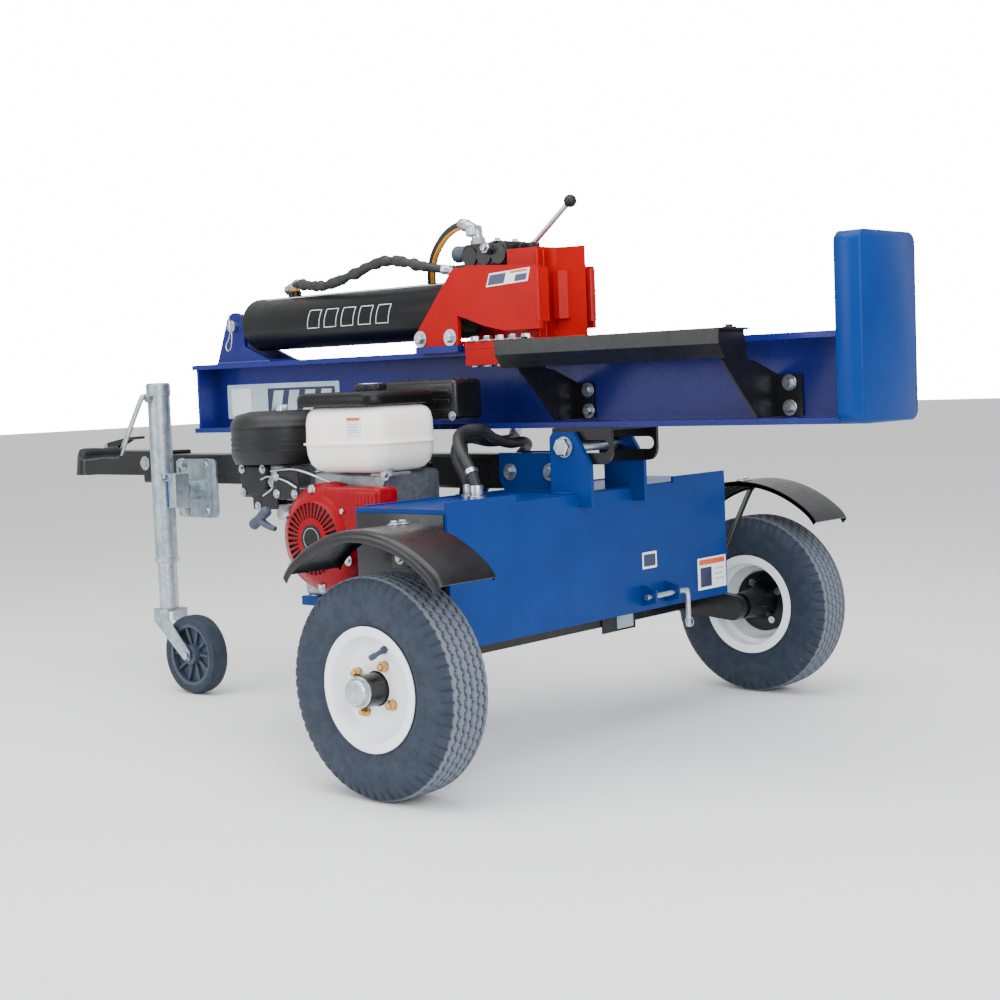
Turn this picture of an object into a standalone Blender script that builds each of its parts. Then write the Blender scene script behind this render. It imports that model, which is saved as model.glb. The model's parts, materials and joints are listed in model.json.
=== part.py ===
"""Towable hydraulic log splitter: a beam that tips from horizontal to vertical on a two-wheel chassis.

The frame is +Z up. +X runs along the beam towards the foot plate, +Y runs along the axle towards the far
wheel. The origin is on the ground under the middle of the machine. Places below are measured from the
middle of the axle, and a datum empty moves the whole assembly DATUM_X along the frame. Lengths are metres.
"""

import math

import bmesh
import bpy
from mathutils import Matrix, Vector

GAP = 0.0004  # clearance between pieces that touch on the real machine

DATUM_X = 0.5625  # from the origin to the axle

# Beam: a wide-flange section with a foot plate
BEAM_BOTTOM = 0.660
BEAM_TOP = 0.831
BEAM_WIDTH = 0.154
FLANGE = 0.0116
WEB = 0.008
BEAM_TAIL = -1.224
BEAM_NOSE = 0.646
FOOT_THICK = 0.0556
FOOT_WIDTH = 0.206
FOOT_TOP = 1.008
STRIPPER_BACK = -0.409
TAB_TOP = 0.843

# Pivot of the beam on the chassis
PIVOT = Vector((0.005, 0.0, 0.621))
PIVOT_R = 0.0125
SLOT_RUN = 0.090
EAR_Y = 0.0910
EAR_THICK = 0.010

# Hydraulic cylinder
CYL_Z = 0.9235
CYL_R = 0.064
CYL_BORE = 0.056
CYL_TAIL = -1.085
CYL_HEAD = -0.335
PORT_X = -0.907
ROD_R = 0.025
ROD_END = -0.185
ROD_PIN_X = -0.215
PIN_X = CYL_TAIL

# Wedge and its slide
WEDGE_TIP = 0.000
WEDGE_TOP = 1.038
SLIDE_BACK = -0.255
SLIDE_FRONT = -0.030
SLIDE_HALF = 0.105
SLIDE_THICK = 0.0165

# Log table
TABLE_BACK = -0.069
TABLE_FRONT = 0.475

# Chassis
TANK_FRONT = -0.210
TANK_REAR = 0.037
TANK_NEAR = -0.4926
TANK_FAR = 0.437
TANK_BOTTOM = 0.255
TANK_LID = 0.524
TANK_TOP = 0.538
FILLER = (-0.120, 0.300)
CHEEK_BOLTS = (-0.192, -0.080)
TONGUE_HALF = 0.038
TONGUE_TOP = 0.603
TONGUE_BOTTOM = 0.527
TONGUE_FRONT = -1.500
LOCK_X = 0.062
LOCK_Z = 0.288

# Wheels: 4.80-8 tyres on torsion arms
TYRE_R = 0.2095
TYRE_HALF = 0.059
RIM_R = 0.1175
TRACK_HALF = 0.628
AXLE_X = -0.152
AXLE_Z = 0.2271
FENDER_R = 0.295

# Jack
JACK = Vector((-1.305, -0.125, 0.0))
JACK_TOP = 0.791
JACK_LOW = 0.331
JACK_R = 0.0285
JACK_PIVOT_X = -1.270
JACK_PIVOT_Z = 0.515
CRANK_Z = 0.754
FORK_TOP = 0.212
CASTER_X = -1.205
CASTER_R = 0.100

# Engine, with its crankshaft along Y
CRANK = Vector((-0.410, -0.430, 0.453))
FUEL_TANK_TOP = 0.722
BASE_TOP = 0.315

MATERIALS = {
    "blue_paint": ((0.01, 0.08, 0.33), 0.3, 0.0),
    "red_paint": ((0.75, 0.01, 0.02), 0.3, 0.0),
    "black_paint": ((0.012, 0.012, 0.013), 0.35, 0.0),
    "black_plastic": ((0.015, 0.015, 0.016), 0.5, 0.0),
    "white_plastic": ((0.85, 0.84, 0.78), 0.35, 0.0),
    "white_paint": ((0.80, 0.84, 0.86), 0.35, 0.0),
    "tyre_rubber": ((0.03, 0.032, 0.036), 0.75, 0.0),
    "hose_rubber": ((0.02, 0.02, 0.022), 0.6, 0.0),
    "zinc": ((0.62, 0.64, 0.64), 0.35, 1.0),
    "steel": ((0.70, 0.70, 0.70), 0.25, 1.0),
    "cast_alloy": ((0.45, 0.46, 0.47), 0.5, 0.9),
}


def clear_scene():
    for obj in list(bpy.data.objects):
        bpy.data.objects.remove(obj)


def collection(name):
    made = bpy.data.collections.new(name)
    bpy.context.scene.collection.children.link(made)
    return made


def material(name):
    found = bpy.data.materials.get(name)
    if found:
        return found
    colour, rough, metal = MATERIALS[name]
    made = bpy.data.materials.new(name)
    made.use_nodes = True
    shader = made.node_tree.nodes["Principled BSDF"]
    shader.inputs["Base Color"].default_value = (*colour, 1.0)
    shader.inputs["Roughness"].default_value = rough
    shader.inputs["Metallic"].default_value = metal
    return made


clear_scene()
PARTS = collection("log_splitter")
CUTTERS = collection("cutters")


def put(obj, paint, where=None):
    """Links obj into the parts collection with its material."""
    for old in list(obj.users_collection):
        old.objects.unlink(obj)
    (where or PARTS).objects.link(obj)
    obj.data.materials.clear()
    obj.data.materials.append(material(paint))
    return obj


def bevel(obj, width, segments=2, angle=40):
    mod = obj.modifiers.new("Bevel", "BEVEL")
    mod.width = width
    mod.segments = segments
    mod.limit_method = "ANGLE"
    mod.angle_limit = math.radians(angle)
    return obj


def box(name, lo, hi, paint, edge=0.0, segments=2):
    """A block between two corners, with rounded edges if edge is given."""
    lo, hi = Vector(lo), Vector(hi)
    bpy.ops.mesh.primitive_cube_add(size=1.0)
    obj = bpy.context.object
    obj.name = name
    obj.data.transform(Matrix.Diagonal((*(hi - lo), 1.0)))
    obj.location = (lo + hi) / 2
    if edge:
        bevel(obj, edge, segments)
    return put(obj, paint)


def rod(name, start, end, radius, paint, sides=24, edge=0.0):
    """A solid round bar between two points."""
    start, end = Vector(start), Vector(end)
    bpy.ops.mesh.primitive_cylinder_add(vertices=sides, radius=radius, depth=(end - start).length)
    obj = bpy.context.object
    obj.name = name
    obj.location = (start + end) / 2
    obj.rotation_euler = (end - start).to_track_quat("Z", "Y").to_euler()
    if edge:
        bevel(obj, edge)
    obj.data.shade_smooth()
    return put(obj, paint)


TURNS = {
    "X": Matrix(((0, 0, 1), (1, 0, 0), (0, 1, 0))),
    "Y": Matrix(((1, 0, 0), (0, 0, -1), (0, 1, 0))),
    "Z": Matrix.Identity(3),
}


def plate(name, outline, thickness, normal, centre, paint, holes=()):
    """A flat plate. The outline is (y, z) for normal X, (x, z) for Y and (x, y) for Z; centre is the mid-plane."""
    curve = bpy.data.curves.new(name, "CURVE")
    curve.dimensions = "2D"
    curve.fill_mode = "BOTH"
    curve.extrude = thickness / 2
    for ring in (outline, *holes):
        spline = curve.splines.new("POLY")
        spline.points.add(len(ring) - 1)
        for point, (u, v) in zip(spline.points, ring):
            point.co = (u, v, 0.0, 1.0)
        spline.use_cyclic_u = True
    obj = bpy.data.objects.new(name, curve)
    obj.rotation_euler = TURNS[normal].to_euler()
    obj.location = {"X": (centre, 0, 0), "Y": (0, centre, 0), "Z": (0, 0, centre)}[normal]
    return put(obj, paint)


def arc(cx, cy, radius, start, end, steps):
    """Points on an arc, in degrees."""
    turn = [math.radians(start + (end - start) * i / steps) for i in range(steps + 1)]
    return [(cx + radius * math.cos(a), cy + radius * math.sin(a)) for a in turn]


def circle(cx, cy, radius, sides=20):
    return arc(cx, cy, radius, 0, 360 - 360 / sides, sides - 1)


def round_rect(x0, y0, x1, y1, radius, steps=4):
    corners = ((x1, y1, 0), (x0, y1, 90), (x0, y0, 180), (x1, y0, 270))
    ring = []
    for x, y, start in corners:
        cx = x - radius if x == x1 else x + radius
        cy = y - radius if y == y1 else y + radius
        ring += arc(cx, cy, radius, start, start + 90, steps)
    return ring


def turned(name, profile, paint, origin, axis="Z", steps=32, closed=True):
    """A solid of revolution. The profile is (radius, height along the axis), down the outer side first."""
    mesh = bpy.data.meshes.new(name)
    points = [(r, 0.0, h) for r, h in profile]
    edges = [(i, i + 1) for i in range(len(points) - 1)]
    if closed:
        edges.append((len(points) - 1, 0))
    mesh.from_pydata(points, edges, [])
    obj = bpy.data.objects.new(name, mesh)
    screw = obj.modifiers.new("Screw", "SCREW")
    screw.steps = screw.render_steps = steps
    screw.use_merge_vertices = True
    screw.merge_threshold = 0.00005
    screw.use_smooth_shade = True
    turn = {"Z": (0, 0, 0), "Y": (-math.pi / 2, 0, 0), "X": (0, math.pi / 2, 0)}[axis]
    obj.rotation_euler = turn
    obj.location = origin
    return put(obj, paint)


def tube(name, points, radius, paint, resolution=2):
    """A round bar or hose along a list of points."""
    curve = bpy.data.curves.new(name, "CURVE")
    curve.dimensions = "3D"
    curve.bevel_depth = radius
    curve.bevel_resolution = resolution
    curve.use_fill_caps = True
    spline = curve.splines.new("POLY")
    spline.points.add(len(points) - 1)
    for point, place in zip(spline.points, points):
        point.co = (*place, 1.0)
    return put(bpy.data.objects.new(name, curve), paint)


def smooth_path(points, count):
    """count points read from a Catmull-Rom curve through the route's own points."""
    route = [Vector(p) for p in points]
    route = [2 * route[0] - route[1], *route, 2 * route[-1] - route[-2]]
    spans = len(route) - 3
    made = []
    for i in range(count):
        t = i / (count - 1) * spans
        k = min(int(t), spans - 1)
        t -= k
        a, b, c, d = route[k : k + 4]
        made.append(
            0.5 * (
                2 * b + (c - a) * t + (2 * a - 5 * b + 4 * c - d) * t**2 + (3 * b - a - 3 * c + d) * t**3
            )
        )
    return made


def meshed(obj):
    """The object's evaluated shape as a plain, welded mesh object in place of the object."""
    bpy.context.view_layer.update()
    graph = bpy.context.evaluated_depsgraph_get()
    data = bpy.data.meshes.new_from_object(obj.evaluated_get(graph))
    data.transform(obj.matrix_world)
    work = bmesh.new()
    work.from_mesh(data)
    bmesh.ops.remove_doubles(work, verts=work.verts, dist=0.00001)
    bmesh.ops.dissolve_limit(work, angle_limit=math.radians(0.2), verts=work.verts, edges=work.edges)
    bmesh.ops.recalc_face_normals(work, faces=work.faces)
    work.to_mesh(data)
    work.free()
    name, paint = obj.name, data.materials[0].name
    bpy.data.objects.remove(obj)
    return put(bpy.data.objects.new(name, data), paint)


def combine(first, others, operation):
    """Boolean of first with each of others, which become hidden tools."""
    for i, other in enumerate(others):
        tool = meshed(other)
        tool.name = f"{first.name}_tool_{i}"
        put(tool, tool.data.materials[0].name, CUTTERS)
        tool.hide_render = True
        tool.display_type = "WIRE"
        mod = first.modifiers.new("Boolean", "BOOLEAN")
        mod.operation = operation
        mod.object = tool
        mod.solver = "EXACT"
    return first


def join(first, *others):
    return combine(meshed(first), others, "UNION")


def cut(first, *others):
    return combine(meshed(first), others, "DIFFERENCE")


# ---------------------------------------------------------------- beam


def make_beam():
    half, web = BEAM_WIDTH / 2, WEB / 2
    under, over = BEAM_BOTTOM + FLANGE, BEAM_TOP - FLANGE
    bottom = box("beam", (BEAM_TAIL, -half, BEAM_BOTTOM), (BEAM_NOSE, half, under), "blue_paint")
    top = box("top_flange", (BEAM_TAIL, -half, over), (BEAM_NOSE, half, BEAM_TOP), "blue_paint")
    middle = box("web", (BEAM_TAIL, -web, under - 0.003), (BEAM_NOSE, web, over + 0.003), "blue_paint")
    stiffeners = [
        box(
            f"stiffener_{i}", (BEAM_TAIL + 0.010, y0, under - 0.002), (BEAM_TAIL + 0.018, y1, over + 0.002),
            "blue_paint"
        )
        for i, (y0, y1) in enumerate(((-half + 0.006, -web + 0.001), (web - 0.001, half - 0.006)))
    ]
    tabs = [
        box(
            f"tab_{i}", (STRIPPER_BACK, y0, BEAM_TOP - 0.003), (STRIPPER_BACK + 0.126, y1, TAB_TOP),
            "blue_paint"
        )
        for i, (y0, y1) in enumerate(((-0.098, -0.058), (0.058, 0.098)))
    ]
    return join(bottom, middle, top, *stiffeners, *tabs)


def make_foot_plate():
    half = FOOT_WIDTH / 2
    ring = round_rect(-half, BEAM_BOTTOM, half, FOOT_TOP, 0.021, 5)
    block = meshed(
        plate("foot_plate", ring, FOOT_THICK, "X", BEAM_NOSE + GAP + FOOT_THICK / 2, "blue_paint")
    )
    return bevel(block, 0.003)


def make_pivot_bracket():
    """The black channel under the beam; the pivot shaft runs in its two slots."""
    low, high = 0.584, BEAM_BOTTOM - GAP
    back, front, round_r = -0.040, 0.115, 0.025
    slot_r = PIVOT_R + 0.0006
    ring = [(back, high), *arc(back + round_r, low + round_r, round_r, 180, 270, 4)]
    ring += [*arc(front - round_r, low + round_r, round_r, 270, 360, 4), (front, high)]
    slot = arc(PIVOT.x + SLOT_RUN, PIVOT.z, slot_r, -90, 90, 8) + arc(PIVOT.x, PIVOT.z, slot_r, 90, 270, 8)
    sides = [
        plate(f"bracket_side_{i}", ring, 0.008, "Y", y, "black_paint", [slot])
        for i, y in enumerate((-0.077, 0.077))
    ]
    top = box(
        "beam_pivot_bracket", (back + 0.001, -0.076, high - 0.006), (front - 0.001, 0.076, high - 0.0003),
        "black_paint"
    )
    return join(top, *sides)


def make_cylinder_clevis():
    """Two triangular gussets on a base strip, which carry the cylinder's tail pin."""
    low = BEAM_TOP + GAP
    ring = [(-1.160, low), (-0.950, low), (-1.051, 0.872), *arc(PIN_X, CYL_Z, 0.034, 0, 170, 8)]
    bore = circle(PIN_X, CYL_Z, 0.0130, 16)
    sides = [
        plate(f"gusset_{i}", ring, 0.010, "Y", y, "blue_paint", [bore])
        for i, y in enumerate((-0.041, 0.041))
    ]
    base = box(
        "cylinder_clevis", (-1.158, -0.044, low + 0.0003), (-0.960, 0.044, low + 0.006), "blue_paint"
    )
    return join(base, *sides)


def make_cylinder():
    """Barrel, open to the rod end, with a tail eye between the gussets and two ports on top."""
    mouth, gland, tail = CYL_HEAD, CYL_HEAD - 0.040, CYL_TAIL + 0.040
    profile = [
        (ROD_R + 0.0010, mouth), (CYL_R - 0.003, mouth), (CYL_R, mouth - 0.003), (CYL_R, tail + 0.004)
    ]
    profile += [
        (CYL_R - 0.004, tail), (0.0, tail), (0.0, tail + 0.012), (CYL_BORE, tail + 0.012), (CYL_BORE, gland)
    ]
    profile += [(ROD_R + 0.0010, gland)]
    barrel = turned("cylinder_barrel", profile, "black_paint", (0, 0, CYL_Z), "X", 36)
    ring = [
        *arc(PIN_X, CYL_Z, 0.030, 90, 270, 8), (tail + 0.004, CYL_Z - 0.030), (tail + 0.004, CYL_Z + 0.030)
    ]
    eye = plate("tail_eye", ring, 0.060, "Y", 0.0, "black_paint", [circle(PIN_X, CYL_Z, 0.0130, 16)])
    ports = [
        rod(
            f"port_{i}", (x, 0, CYL_Z + CYL_R - 0.006), (x, 0, CYL_Z + CYL_R + 0.012), 0.016, "black_paint",
            12
        )
        for i, x in enumerate((PORT_X, CYL_HEAD - 0.020))
    ]
    return join(barrel, eye, *ports)


def make_pin(name, x, half, radius):
    """A headed pin along Y on the cylinder's centre line."""
    shank = rod(name, (x, -half, CYL_Z), (x, half, CYL_Z), radius, "zinc", 16)
    head = rod("head", (x, -half - 0.004, CYL_Z), (x, -half + 0.003, CYL_Z), radius + 0.003, "zinc", 16)
    return join(shank, head)


def make_piston_rod():
    piston = -1.030
    profile = [
        (0.0, ROD_END), (ROD_R, ROD_END), (ROD_R, piston + 0.040), (CYL_BORE - 0.001, piston + 0.040)
    ]
    profile += [(CYL_BORE - 0.001, piston), (0.0, piston)]
    shaft = turned("piston_rod", profile, "steel", (0, 0, CYL_Z), "X", 28, closed=False)
    bore = rod("bore", (ROD_PIN_X, -0.06, CYL_Z), (ROD_PIN_X, 0.06, CYL_Z), 0.0090, "steel", 16)
    return cut(shaft, bore)


# ---------------------------------------------------------------- wedge


def make_wedge():
    """Slide plate, rod socket, back box, splitting blade and its two flared wings, welded into one."""
    floor = BEAM_TOP + 0.0012
    deck = floor + SLIDE_THICK
    base = box("wedge", (SLIDE_BACK, -SLIDE_HALF, floor), (SLIDE_FRONT, SLIDE_HALF, deck), "red_paint")
    blade_ring = [(WEDGE_TIP, 0.0), (-0.060, 0.022), (-0.100, 0.022), (-0.100, -0.022), (-0.060, -0.022)]
    blade = plate(
        "blade", blade_ring, WEDGE_TOP - deck + 0.004, "Z", (WEDGE_TOP + deck - 0.004) / 2, "red_paint"
    )
    back = box("back_box", (-0.178, -0.044, deck - 0.003), (-0.094, 0.044, WEDGE_TOP + 0.004), "red_paint")
    bore, floor_x = ROD_R + 0.0008, ROD_END + 0.001
    ring = [
        (0.0, -0.170), (0.0450, -0.170), (0.0450, -0.260), (bore, -0.260), (bore, floor_x), (0.0, floor_x)
    ]
    socket = turned("socket", ring, "red_paint", (0, 0, CYL_Z), "X", 28, closed=False)
    web = box("socket_web", (-0.252, -0.012, deck - 0.003), (-0.174, 0.012, CYL_Z - 0.036), "red_paint")
    rise = 0.100
    wings = []
    for side in (-1, 1):
        ring = [
            (-0.030, side * 0.008), (-0.034, side * 0.020), (-0.046, side * 0.036), (-0.060, side * 0.036)
        ]
        ring += [(-0.072, side * 0.020), (-0.072, side * 0.008)]
        wings.append(plate(f"wing_{side}", ring, rise, "Z", 0.938, "red_paint"))
    bore = rod("bore", (ROD_PIN_X, -0.07, CYL_Z), (ROD_PIN_X, 0.07, CYL_Z), 0.0090, "red_paint", 16)
    return combine(join(base, blade, back, socket, web, *wings), [bore], "DIFFERENCE")


def make_slide_gib(side, y_sign):
    """The spacer and keeper bar that hooks under the beam's flange, clamped by a row of bolts."""
    outer, inner, hook = SLIDE_HALF, BEAM_WIDTH / 2 + 0.0015, 0.062
    top, under = BEAM_TOP + 0.0012 - GAP, BEAM_TOP - FLANGE - 0.0015
    low = under - 0.020
    section = [(outer, top), (outer, low), (hook, low), (hook, under), (inner, under), (inner, top)]
    ring = [(y_sign * y, z) for y, z in section]
    middle = (SLIDE_FRONT + SLIDE_BACK) / 2
    return plate(f"slide_gib_{side}", ring, SLIDE_FRONT - SLIDE_BACK - 0.002, "X", middle, "red_paint")


def make_stripper(side, y_sign):
    """Side plate bolted to the beam's tab. Its turned-in front edge holds the log back as the wedge returns."""
    y, foot = y_sign * 0.0895, TAB_TOP + GAP
    back = STRIPPER_BACK
    ring = [
        (back, foot), (back, foot + 0.030), (-0.300, 1.000), (-0.288, 1.010), (-0.270, 1.006),
        (-0.245, 1.012)
    ]
    ring += [(-0.051, 1.000), (-0.051, 0.868), (-0.150, 0.868), (-0.205, 0.880), (-0.262, 0.900)]
    ring += [(back + 0.126, 0.906), (back + 0.126, foot)]
    face = plate(f"stripper_{side}", ring, 0.010, "Y", y, "red_paint")
    low, high = sorted((y_sign * 0.0600, y_sign * 0.0860))
    foot_flange = box(
        "foot_flange", (back + 0.001, low, foot + 0.0002), (back + 0.125, high, foot + 0.008), "red_paint"
    )
    turned_in = [
        (-0.058, y_sign * 0.086), (-0.052, y_sign * 0.090), (-0.044, y_sign * 0.070),
        (-0.050, y_sign * 0.068)
    ]
    lip = plate("lip", turned_in, 0.112, "Z", 0.939, "red_paint")
    return join(face, foot_flange, lip)


# ---------------------------------------------------------------- valve and hoses


def make_valve():
    """Spool valve on its port block, with an elbow for the pressure hose."""
    low = CYL_Z + CYL_R + 0.0126
    saddle = box("control_valve", (-0.362, -0.022, low), (-0.300, 0.024, 1.020), "black_paint", 0.002)
    body = box("body", (-0.320, -0.030, 1.012), (-0.196, 0.052, 1.066), "black_paint", 0.005)
    spool = rod("spool_end", (-0.360, 0.030, 1.042), (-0.310, 0.030, 1.042), 0.018, "black_paint", 16)
    cap = rod("lever_end", (-0.205, 0.030, 1.040), (-0.190, 0.030, 1.040), 0.020, "black_paint", 16)
    inlet = rod("inlet", (-0.300, 0.008, 1.060), (-0.312, 0.006, 1.096), 0.014, "black_paint", 12)
    outlet = rod("outlet", (-0.250, 0.046, 1.036), (-0.250, 0.074, 1.036), 0.016, "black_paint", 12)
    return join(saddle, body, spool, cap, inlet, outlet)


def make_valve_lever():
    low, high = Vector((-0.174, 0.036, 1.053)), Vector((-0.075, 0.050, 1.140))
    shaft = rod("valve_lever", low, high, 0.0058, "steel", 12)
    boss = box("lever_boss", (-0.184, 0.022, 1.0465), (-0.162, 0.050, 1.0600), "steel")
    bpy.ops.mesh.primitive_uv_sphere_add(segments=16, ring_count=10, radius=0.014, location=high)
    knob = put(bpy.context.object, "black_plastic")
    return join(shaft, boss, knob)


CYLINDER_HOSE = [
    (PORT_X, 0.000, 1.0125), (-0.885, -0.004, 1.016), (-0.830, -0.012, 1.008), (-0.760, -0.024, 1.006),
    (-0.660, -0.034, 1.024), (-0.570, -0.040, 1.044), (-0.500, -0.042, 1.041), (-0.440, -0.034, 1.026),
    (-0.3755, -0.014, 1.013),
]
PRESSURE_HOSE = [
    (-0.320, 0.005, 1.105), (-0.352, 0.008, 1.112), (-0.405, 0.012, 1.094), (-0.455, 0.024, 1.052),
    (-0.490, 0.048, 1.000), (-0.508, 0.082, 0.940), (-0.511, 0.102, 0.880), (-0.500, 0.110, 0.790),
    (-0.478, 0.108, 0.700), (-0.450, 0.090, 0.620), (-0.428, 0.066, 0.555), (-0.422, 0.052, 0.506),
]
RETURN_HOSE = [
    (-0.250, 0.0755, 1.036), (-0.250, 0.0880, 1.0355), (-0.252, 0.108, 1.020), (-0.262, 0.128, 0.960),
    (-0.280, 0.132, 0.870), (-0.300, 0.130, 0.770), (-0.308, 0.122, 0.690), (-0.296, 0.096, 0.642),
    (-0.270, 0.050, 0.632), (-0.250, 0.000, 0.631), (-0.238, -0.060, 0.632), (-0.234, -0.120, 0.642),
    (-0.230, -0.162, 0.636), (-0.200, -0.206, 0.606), (-0.162, -0.224, 0.570), (-0.146, -0.226, 0.540),
]
SUCTION_HOSE = [
    (-0.100, -0.256, 0.5400), (-0.116, -0.252, 0.578), (-0.168, -0.232, 0.634), (-0.196, -0.188, 0.658),
    (-0.188, -0.140, 0.662), (-0.194, -0.090, 0.640), (-0.202, -0.030, 0.627), (-0.214, 0.030, 0.627),
    (-0.240, 0.068, 0.612), (-0.300, 0.078, 0.572), (-0.348, 0.066, 0.538), (-0.366, 0.060, 0.518),
    (-0.366, 0.058, 0.5040), (-0.366, 0.058, 0.5000),
]


def make_hoses():
    tube("cylinder_hose", smooth_path(CYLINDER_HOSE, 20), 0.0125, "hose_rubber")
    tube("pressure_hose", smooth_path(PRESSURE_HOSE, 30), 0.0100, "hose_rubber")
    tube("return_hose", smooth_path(RETURN_HOSE, 34), 0.0115, "hose_rubber")
    tube("suction_hose", smooth_path(SUCTION_HOSE, 26), 0.0115, "hose_rubber")


# ---------------------------------------------------------------- log table


def make_log_table():
    """A folded tray along the near side of the beam that catches the split log."""
    top, sheet, near, inner = 0.844, 0.004, -0.220, -0.118
    section = [
        (inner, top), (near, top), (near, top - 0.029), (near + 0.020, top - 0.056),
        (near + 0.024, top - 0.054)
    ]
    section += [(near + sheet, top - 0.0275), (near + sheet, top - sheet), (inner, top - sheet)]
    length = TABLE_FRONT - TABLE_BACK
    return plate("log_table", section, length, "X", (TABLE_FRONT + TABLE_BACK) / 2, "black_paint")


def make_table_bracket(name, x, tab_to, low, high):
    """Gusset from the web to the table's lip, folded to a tab that is bolted to the web."""
    face = -(WEB / 2 + GAP)
    ring = [(-0.212, 0.8390), (-0.212, 0.820), (-0.192, 0.784), (-0.080, low), (face - 0.001, low)]
    ring += [(face - 0.001, high), (-0.080, 0.780), (-0.110, 0.786), (-0.120, 0.8390)]
    gusset = plate(name, ring, 0.005, "X", x, "black_paint")
    start, end = sorted((x, tab_to))
    tab = box("tab", (start, face - 0.005, low + 0.001), (end, face, high - 0.001), "black_paint")
    return join(gusset, tab)


# ---------------------------------------------------------------- chassis


def ear_ring():
    top = 0.652
    ring = [(-0.036, 0.516), *arc(-0.020, top - 0.016, 0.016, 180, 90, 3), (0.028, top), (0.070, 0.585)]
    return ring + [(0.070, 0.497), (0.034, 0.497), (0.034, 0.516)]


def make_reservoir():
    """Oil reservoir across the axle, with the pivot ears, tongue cheeks and lock-pin legs welded on."""
    wall = 0.005
    tank = box(
        "reservoir", (TANK_FRONT, TANK_NEAR, TANK_BOTTOM), (TANK_REAR, TANK_FAR, TANK_LID), "blue_paint"
    )
    rims = [
        box(
            f"rim_{i}", (TANK_REAR - 0.006, y0, TANK_LID - 0.004), (TANK_REAR - 0.0002, y1, TANK_TOP),
            "blue_paint"
        )
        for i, (y0, y1) in enumerate(((TANK_NEAR + 0.0003, -0.292), (0.237, TANK_FAR - 0.0003)))
    ]
    ears = [
        plate(
            f"ear_{i}", ear_ring(), EAR_THICK, "Y", y, "blue_paint",
            [circle(PIVOT.x, PIVOT.z, PIVOT_R + 0.0006)]
        )
        for i, y in enumerate((-EAR_Y, EAR_Y))
    ]
    cheek_ring = [(-0.206, 0.516), (-0.223, 0.548), (-0.223, 0.606), (-0.057, 0.606), (-0.057, 0.516)]
    holes = [circle(x, 0.565, 0.0062, 12) for x in CHEEK_BOLTS]
    cheeks = [
        plate(f"cheek_{i}", cheek_ring, 0.006, "Y", y, "blue_paint", holes) for i, y in enumerate(
            (-0.0415, 0.0415)
        )
    ]
    leg_ring = [(TANK_REAR - 0.003, 0.266), (0.074, 0.274), (0.074, 0.302), (TANK_REAR - 0.003, 0.312)]
    hole = circle(LOCK_X, LOCK_Z, 0.0068, 12)
    legs = [
        plate(f"lock_leg_{i}", leg_ring, 0.006, "Y", y, "blue_paint", [hole]) for i, y in enumerate(
            (0.112, 0.196)
        )
    ]
    shell = combine(meshed(tank), [*rims, *ears, *cheeks, *legs], "UNION")
    inside = box(
        "inside", (TANK_FRONT + wall, TANK_NEAR + wall, TANK_BOTTOM + wall),
        (TANK_REAR - wall - 0.002, TANK_FAR - wall, TANK_LID - wall), "blue_paint"
    )
    filler = rod("filler", (*FILLER, TANK_LID - 0.02), (*FILLER, TANK_LID + 0.02), 0.022, "blue_paint", 20)
    return combine(shell, [inside, filler], "DIFFERENCE")


def make_pivot_shaft():
    """Pivot bolt: a hex head and washer at the near ear, a nut beyond the far ear."""
    outer, x, z = EAR_Y + EAR_THICK / 2, PIVOT.x, PIVOT.z
    shank = rod("pivot_shaft", (x, -outer - 0.012, z), (x, outer + 0.012, z), PIVOT_R, "zinc", 24)
    washer = rod("washer", (x, -outer - 0.0045, z), (x, -outer - GAP, z), 0.0215, "zinc", 24)
    head = rod("head", (x, -outer - 0.0185, z), (x, -outer - 0.0040, z), 0.0185, "zinc", 6)
    nut = rod("nut", (x, outer + GAP, z), (x, outer + 0.0165, z), 0.0185, "zinc", 6)
    return join(shank, washer, head, nut)


def make_tongue():
    half, wall, back = TONGUE_HALF, 0.005, -0.050
    outer = round_rect(-half, TONGUE_BOTTOM, half, TONGUE_TOP, 0.006, 2)
    inner = round_rect(-half + wall, TONGUE_BOTTOM + wall, half - wall, TONGUE_TOP - wall, 0.003, 2)
    return plate(
        "tongue", outer, back - TONGUE_FRONT, "X", (back + TONGUE_FRONT) / 2, "black_paint", [inner]
    )


def make_beam_rest():
    """Saddle on the tongue that the beam lies on for towing."""
    foot = box(
        "beam_rest", (-1.130, -0.037, TONGUE_TOP + GAP), (-1.070, 0.037, TONGUE_TOP + 0.006), "black_paint"
    )
    post = box(
        "post", (-1.104, -0.030, TONGUE_TOP + 0.003), (-1.096, 0.030, BEAM_BOTTOM - 0.004), "black_paint"
    )
    seat = box(
        "seat", (-1.126, -0.034, BEAM_BOTTOM - 0.006), (-1.074, 0.034, BEAM_BOTTOM - GAP), "black_paint"
    )
    return join(foot, post, seat)


def make_coupler():
    """Pressed coupler: a channel bolted under the tongue's end that closes into a hollow ball head."""
    high, low, half = 0.612, 0.548, 0.046
    walls = [
        box(f"side_{i}", (-1.755, y0, low), (-1.402, y1, high - 0.001), "black_paint")
        for i, (y0, y1) in enumerate(((-half, -half + 0.005), (half - 0.005, half)))
    ]
    roof = box(
        "coupler", (-1.757, -half + 0.001, high - 0.006), (-1.404, half - 0.001, high), "black_paint"
    )
    head = turned(
        "ball_head",
        [
            (0.0, high + 0.008), (0.030, high + 0.005), (0.046, high - 0.010), (0.052, low - 0.002),
            (0.032, low - 0.002)
        ]
        + [(0.0295, low + 0.016), (0.024, low + 0.034), (0.012, low + 0.044), (0.0, low + 0.046)],
        "black_paint",
        (-1.775, 0, 0),
        "Z",
        24,
        closed=False,
    )
    return join(roof, *walls, head)


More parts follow.
